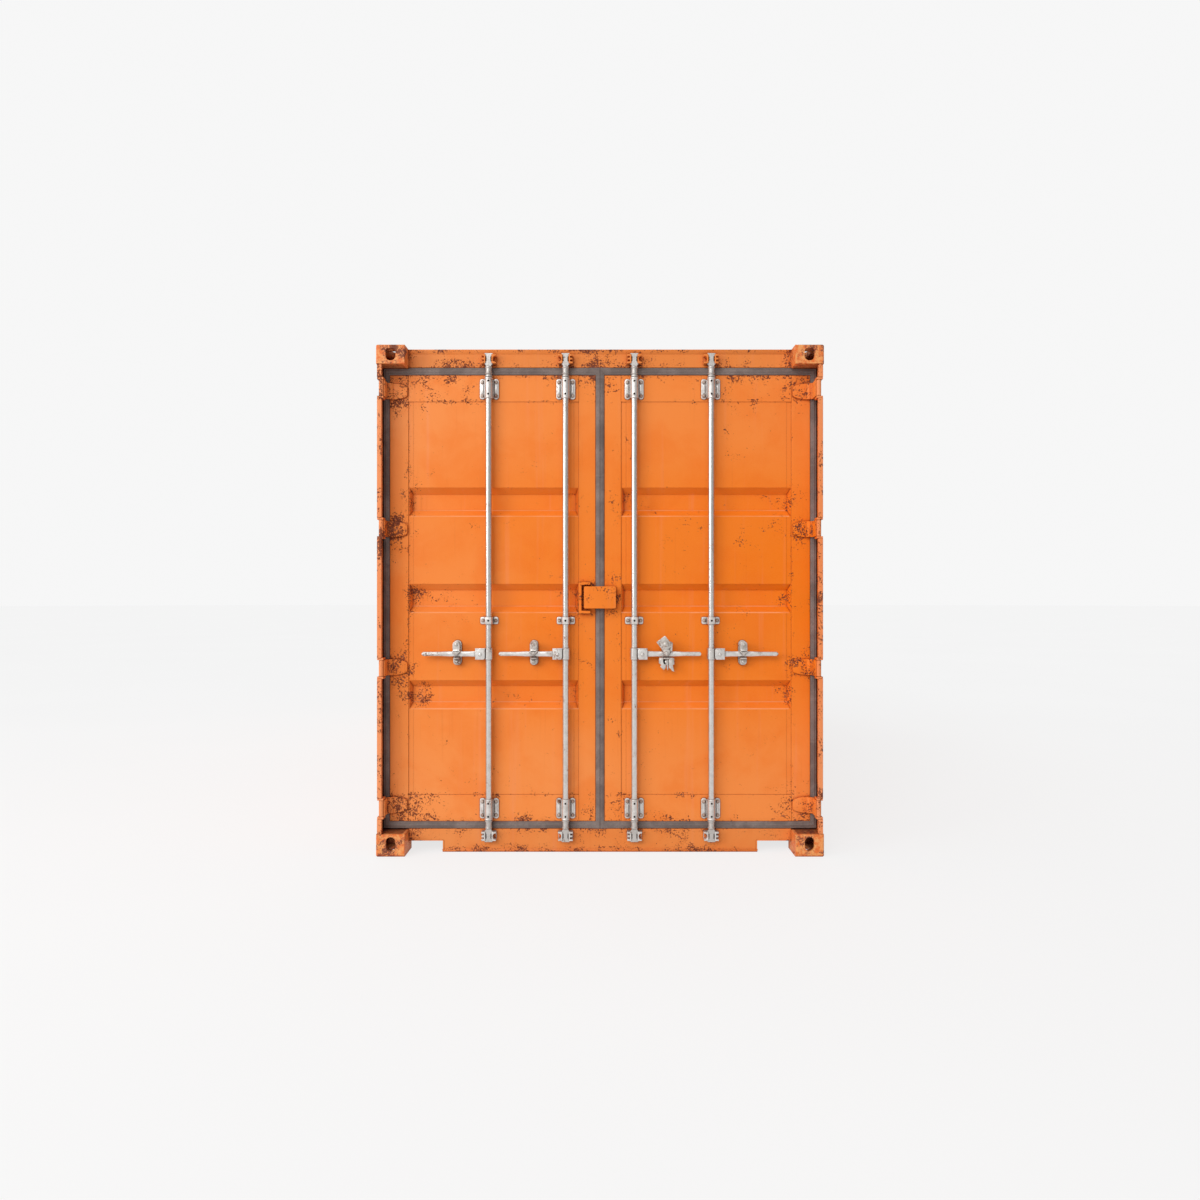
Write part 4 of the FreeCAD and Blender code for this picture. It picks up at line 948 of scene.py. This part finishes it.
def seal_catch(p, s, x, z, pivot):
    """The odd catch: a tilted cover plate, a bent upright plate and a collar over the bar."""
    node = p + "_handle_catch"
    lo, hi = node_box(node)
    m = Metal(s)
    cover = rounded(x - 38, x + 22, pivot - 26, pivot + 44, 4, 3)
    m.slab(turn(cover, 38, x - 2, pivot + 2), lo.y - 1, hi.y - 1.5, 1.4, 3)
    m.slab(at(x, z, [(-6, 17), (30, 12), (34, 58), (26, 68), (2, 66), (-6, 40)]), lo.y + 3, hi.y, 1.4, 3)
    m.slab(at(x, z, [(20, 16), (31, 14), (34, 62), (25, 66)]), lo.y - 3, hi.y - 1, 1.6, 3)
    m.stud(x - 2, pivot + 2, lo.y - 0.5,
           [(14.5, -1), (14.5, 1.2), (13.4, 2.0), (12.2, 2.2), (11.4, 3.4), (9.5, 4.4), (5, 4.8)])
    m.slab(at(x, z, [(-22, 20), (-14, -2), (-5, -12), (6, -12), (14, -2), (22, 18), (12, 25), (-12, 26)]),
           lo.y - 3, hi.y - 0.5, 2.0, 3)
    m.rivet(x - 1, z + 3, lo.y - 3, 10.5, 4.4)
    piece(p + "_catch_flap", m, p + "_catch", [WORN_STEEL], [node])
    t = Metal(s)
    x += 6
    face = lo.y + 22
    t.slab(at(x, z, [(-46, -22), (-8, -20), (-9, -78), (-20, -90), (-28, -82), (-40, -70), (-32, -62), (-47, -52)]),
           face, face + 5, 1.1)
    t.slab(at(x, z, [(-6, -20), (4, -20), (5, -84), (1, -91), (-3, -80)]), face - 3, face + 4, 1.1)
    t.slab(at(x, z, [(6, -20), (37, -22), (38, -58), (29, -62), (38, -98), (25, -94), (19, -84), (8, -76)]),
           face - 6, face - 0.5, 1.1)
    t.slab(rounded(x - 30, x + 24, z - 62, z - 26, 5), face + 4, face + 30, 1.5)
    piece(p + "_torn_guard", t, "right_door", [WORN_STEEL])


# -------------------- lock box, hinges, welds
def lock_box():
    """A folded box over the joint of the leaves, open underneath for a padlock."""
    node = "right_door_lock_box"
    lo, hi = node_box(node)
    half = hi.x
    m = Metal(1)
    m.slab(rounded(-half, half, lo.z, hi.z, 9, 6), lo.y, lo.y + 8, 2.6, 4)
    m.block((half - 9, lo.y + 4, lo.z + 1), (half - 1, hi.y, hi.z - 1))
    m.block((10, lo.y + 4, hi.z - 9), (half - 4, hi.y, hi.z - 1))
    m.block((-half + 2, lo.y + 4, hi.z - 9), (11, lo.y + 34, hi.z - 1))
    m.block((-half + 1, lo.y + 4, lo.z + 1), (-half + 9, lo.y + 34, hi.z - 1))
    m.block((26, lo.y + 30, lo.z + 8), (34, hi.y, hi.z - 6))
    m.bead([(half - 1, hi.y - 1, lo.z + 4), (half - 1, hi.y - 1, hi.z - 4)], 3.2, 11)
    m.bead([(28, hi.y - 1, hi.z - 0.5), (half - 3, hi.y - 1, hi.z - 0.5)], 3.2, 12)
    painted("lock_box_cover", m, "right_door", [node])


def guard_welds():
    lo, hi = node_box("left_door_lock_guard")
    m = Metal(1)
    m.bead([(lo.x - 0.5, hi.y - 1, lo.z + 3), (lo.x - 0.5, hi.y - 1, hi.z - 3)], 3.0, 21)
    for z, seed in ((lo.z - 0.5, 22), (hi.z + 0.5, 23)):
        m.bead([(lo.x + 2, hi.y - 1, z), (hi.x - 2, hi.y - 1, z)], 3.0, seed)
    painted("lock_guard_welds", m, "left_door")


BLADE_THICK = 12.0
BLADE_LEG = 7.0
BLADE_TAPER = [(0.0, 1.0), (0.28, 0.975), (0.52, 0.90), (0.72, 0.80), (0.86, 0.705), (0.94, 0.61), (0.985, 0.49),
               (1.0, 0.34)]


def hinge_blades(side, s):
    """Round-nosed straps welded to the leaf, each bridging the seal to a barrel on its pin."""
    node = side + "_door_hinge_blades"
    m, welds = Metal(s), Metal(s)
    leaf = node_box(side + "_door_stiles")
    edge = max(abs(leaf[0].x), abs(leaf[1].x))
    seal_front = node_box(side + "_door_gasket")[0].y
    pin = islands("hinge_pins")[0]
    pin_x, pin_d, pin_r = abs(pin[0].x + pin[1].x) / 2, (pin[0].y + pin[1].y) / 2, (pin[1].x - pin[0].x) / 2
    for n, (lo, hi) in enumerate(islands(node)):
        tip, face = min(abs(lo.x), abs(hi.x)), hi.y
        barrel = max(abs(lo.x), abs(hi.x)) - pin_x
        zc, half = (lo.z + hi.z) / 2, (hi.z - lo.z) / 2
        shoulder, front = edge - 2 * BLADE_THICK, face - BLADE_THICK
        side_run = [(shoulder + (tip - shoulder) * t, half * share) for t, share in BLADE_TAPER]
        nose = [(x, zc + z) for x, z in side_run] + [(x, zc - z) for x, z in reversed(side_run)]
        m.slab([(shoulder + 4, zc + half)] + nose + [(shoulder + 4, zc - half)], front, face, 2.4, 3)
        leg, bridge = pin_x - BLADE_LEG, seal_front - 1 - BLADE_THICK
        section = [(shoulder, face), (shoulder, front), (edge - BLADE_THICK, bridge), (leg - BLADE_THICK - 4, bridge),
                   (leg - BLADE_THICK, bridge - 4), (leg - BLADE_THICK, pin_d), (leg, pin_d), (leg, seal_front - 1),
                   (edge - 2, seal_front - 1), (edge - BLADE_THICK, face)]
        m.plan(section, zc - half, zc + half, 1.2)
        m.turned(pin_x, pin_d, [(pin_r + 0.1, zc - half), (barrel - 1.2, zc - half), (barrel, zc - half + 1.4),
                                (barrel, zc + half - 1.4), (barrel - 1.2, zc + half), (pin_r + 0.1, zc + half)], 32)
        run = [(edge - 6, face - 0.5, zc + half)] + [(x, face - 0.5, z) for x, z in nose[1:-1]]
        run.append((edge - 6, face - 0.5, zc - half))
        welds.bead(run, 2.8, 31 + n)
    painted(side + "_hinge_blades", m, side + "_door", [node])
    painted(side + "_hinge_welds", welds, side + "_door")


def frame_welds():
    """Weld runs between the castings, posts, header and sill of the door end."""
    low, high = islands("bottom_corner_castings")[0][1].z + 0.5, islands("top_corner_castings")[0][0].z - 0.5
    under, over = node_box("door_header")
    edge, stop = abs(under.x), abs(under.x) - 0.5
    for name, s in SIDES:
        m = Metal(s)
        for z in (low, high):
            m.bead([(POST_WELD[0], 6, z), (POST_WELD[1], 6, z)], 3.2, int(z))
            m.bead([(POST_WELD[1] + 0.5, 8, z), (POST_WELD[1] + 0.5, 170, z)], 3.2, int(z) + 1)
        m.bead([(stop, STOP_DEPTH, under.z + 3), (stop, STOP_DEPTH, over.z - 3)], 4.0, 41)
        m.bead([(stop, STOP_DEPTH, NOTCH_TOP + 2), (stop, STOP_DEPTH, SILL_TOP)], 4.0, 42)
        m.bead([(edge, 106, over.z), (edge, 172, over.z)], 4.0, 43)
        painted(name + "_frame_welds", m, "root")


def sill_lip():
    """A folded lip along the sill's lower edges and round its two notches."""
    lo, hi = node_box("door_sill")
    m = Metal(1)
    d, top = lo.y, NOTCH_TOP
    inner = hi.x - NOTCH_WIDE
    foot = lo.z - 5.5
    m.profile([(d - 10, foot), (d + 4, foot), (d + 4, lo.z + 9), (d, lo.z + 9), (d - 2.4, lo.z + 3),
               (d - 10, lo.z + 1)], -inner, inner, 0.9)
    for s in (-1, 1):
        x0, x1 = sorted((s * inner, s * (hi.x - 0.5)))
        m.profile([(d - 2.2, top), (d + 4, top), (d + 4, top + 7), (d, top + 7), (d - 2.2, top + 4)], x0, x1, 0.9)
        x0, x1 = sorted((s * (inner + 0.4), s * (inner - 6.5)))
        m.slab([(x0, lo.z), (x1, lo.z), (x1, top + 2), (x0, top + 2)], d - 2.2, d + 4, 0.9)
        m.slab([(s * (inner - 8), lo.z), (s * (inner + 4), lo.z), (s * (inner + 2), lo.z + 8),
                (s * (inner - 6), lo.z + 10)], d - 3, d + 5, 1.0)
    painted("sill_lip", m, "root")


def header_lip():
    """A folded rain lip along the top of the header."""
    lo, hi = node_box("door_header")
    m = Metal(1)
    d = lo.y
    m.profile([(d - 9, hi.z + 2.5), (d - 9, hi.z + 5.5), (d + 30, hi.z + 5.5), (d + 30, hi.z - 1), (d, hi.z - 20)],
              lo.x - 1, hi.x + 1, 1.0)
    painted("header_lip", m, "root")


def side_vents():
    """Small pressed vents high on the side walls, with five louvres each."""
    for name, s in SIDES:
        m = Metal(s)
        lo, hi = node_box(name + "_side_wall")
        out = max(abs(lo.x), abs(hi.x))
        for d in (lo.y + VENT_INSET, hi.y - VENT_INSET):
            m.block((out - 2, d - 105, VENT_LOW), (out + 2.2, d + 105, VENT_HIGH))
            for k in range(5):
                z = VENT_LOW + 16 + k * 20
                low, high = [[(x0, d - w, z), (x0, d + w, z), (x1, d + w, z + 12), (x1, d - w, z + 12)]
                             for x0, x1, w in ((out + 1, out + 1, 88), (out + 6.5, out + 2, 84))]
                m.prism(low, high, 0.8)
        piece(name + "_side_vents", m, "root", [BODY_PAINT])


def floor_edges():
    """Sealant along both sides of the floor, which fills the slot under the side rail's flange."""
    lo, hi = node_box("floor")
    edge, top = hi.x, hi.z
    for name, s in SIDES:
        m = Metal(s)
        m.slab([(edge + 8, top - 0.5), (edge - 15, top - 0.5), (edge - 12, top + 2.0), (edge - 6, top + 3.6),
                (edge - 1, top + 5.4), (edge + 8, top + 5.6)], lo.y, hi.y, 0.6)
        piece(name + "_floor_seal", m, "root", [RUBBER])


for side, s in SIDES:
    seal(side, s)
    brackets(side, s)
    rests(side, s)
    hinge_blades(side, s)
    for p, rod_x, catch_x, z, pivot in lock_places(side):
        handle(p, s, rod_x, z)
        ends = [b for b in islands(side + "_door_rod_brackets") if abs(abs(b[0].x + b[1].x) / 2 - rod_x) < 5]
        low_end = min(ends, key=lambda b: b[0].z)[0].z
        top_end = max(ends, key=lambda b: b[1].z)[1].z
        rod_rings(p, s, rod_x, [(low_end - 11, 9, 20.6), (low_end - 46, 6, 20.0), (top_end + 2, 9, 20.6),
                                (top_end + 18, 6, 20.0), (top_end + 50, 6, 20.0)])
        if p == "right_inner":
            seal_catch(p, s, catch_x, z, pivot)
        else:
            catch(p, s, catch_x, z, pivot)
keepers("top_cam_keepers", "top_keepers", FRONT_PAINT)
keepers("bottom_cam_keepers", "bottom_keepers", STEEL)
lock_box()
guard_welds()
frame_welds()
sill_lip()
header_lip()
side_vents()
floor_edges()


# -------------------- stage, light and camera
SKY_SEEN = 0.928
SKY_LEFT, SKY_RIGHT = 0.98, 0.28
FLOOR_TONE = 0.18
FLOOR_GLOW, FLOOR_LIGHT, FLOOR_SHINE = 0.760, 0.42, 0.74
KEY_PLACE, KEY_TARGET = Vector((-7.0, FRONT - 5.0, 3.2)), Vector((0.0, FRONT, 1.3))


def seen(g, to_eye, to_object, to_metal=None):
    """One brightness where the backdrop is seen, a softer one for the light it throws, and one for reflections."""
    path = g.node("LightPath").outputs
    if to_metal is not None:
        to_object = g.node("MapRange", Value=path["Is Glossy Ray"], To_Min=to_object, To_Max=to_metal).outputs[0]
    return g.node("MapRange", Value=path["Is Camera Ray"], To_Min=to_object, To_Max=to_eye).outputs[0]


def stage():
    """A wide pale floor that reaches the horizon, in the tone of the sky."""
    g = Finish("pale_floor")
    g.colour = g.mix(g.ease(g.noise(0.35, 2, 0.5), 0.3, 0.7), (FLOOR_TONE,) * 3 + (1.0,),
                     (FLOOR_TONE * 1.04,) * 3 + (1.0,))
    g.set(rough=0.95, specular=0.0)
    g.put(g.shader.inputs["Emission Color"], (1.0, 1.0, 1.0, 1.0))
    g.put(g.shader.inputs["Emission Strength"], seen(g, FLOOR_GLOW, FLOOR_LIGHT, FLOOR_SHINE))
    mesh = bpy.data.meshes.new("pale_floor")
    bm = bmesh.new()
    bmesh.ops.create_circle(bm, cap_ends=True, segments=96, radius=240.0)
    bm.to_mesh(mesh)
    bm.free()
    obj = bpy.data.objects.new("pale_floor", mesh)
    obj.location = (0, 0, CAD_LO.z)
    mesh.materials.append(g.mat)
    scene.collection.objects.link(obj)


def sky():
    """A pale studio, brighter on the left."""
    world = bpy.data.worlds.new("studio")
    scene.world = world
    world.use_nodes = True
    g = Nodes(world.node_tree)
    back = world.node_tree.nodes["Background"]
    toward = g.node("SeparateXYZ", Vector=g.node("TexCoord").outputs["Generated"])
    slope = g.node("MapRange", Value=toward.outputs[0], From_Min=-1.0, From_Max=1.0, To_Min=SKY_LEFT,
                   To_Max=SKY_RIGHT)
    g.put(back.inputs["Color"], (1.0, 1.0, 1.0, 1.0))
    g.put(back.inputs["Strength"], seen(g, SKY_SEEN, slope.outputs[0]))


def lamp(name, kind, toward, energy, place=(0.0, 0.0, 0.0)):
    """A white lamp that shines in a direction."""
    light = bpy.data.lights.new(name, kind)
    light.energy = energy
    obj = bpy.data.objects.new(name, light)
    obj.location = place
    obj.rotation_mode = "QUATERNION"
    obj.rotation_quaternion = Vector(toward).to_track_quat("-Z", "Y")
    scene.collection.objects.link(obj)
    return light


stage()
sky()
lamp("fill", "SUN", (0.34, 0.80, -0.50), 1.04).angle = math.radians(34)
# the key shows as a soft highlight down the left of each rod
key = lamp("key", "AREA", KEY_TARGET - KEY_PLACE, 215.0, KEY_PLACE)
key.shape = "SQUARE"
key.size = 3.2

cam = bpy.data.cameras.new("camera")
cam.sensor_width = 36.0
cam.lens = 25.4
cam.clip_end = 600.0
camera = bpy.data.objects.new("camera", cam)
camera.location = (0.0, FRONT - 4.6, (CAD_LO.z + CAD_HI.z) / 2 + 0.0035)
camera.rotation_euler = (math.radians(90), 0.0, 0.0)
scene.collection.objects.link(camera)
scene.camera = camera
scene.view_settings.view_transform = "Standard"
scene.view_settings.look = "None"
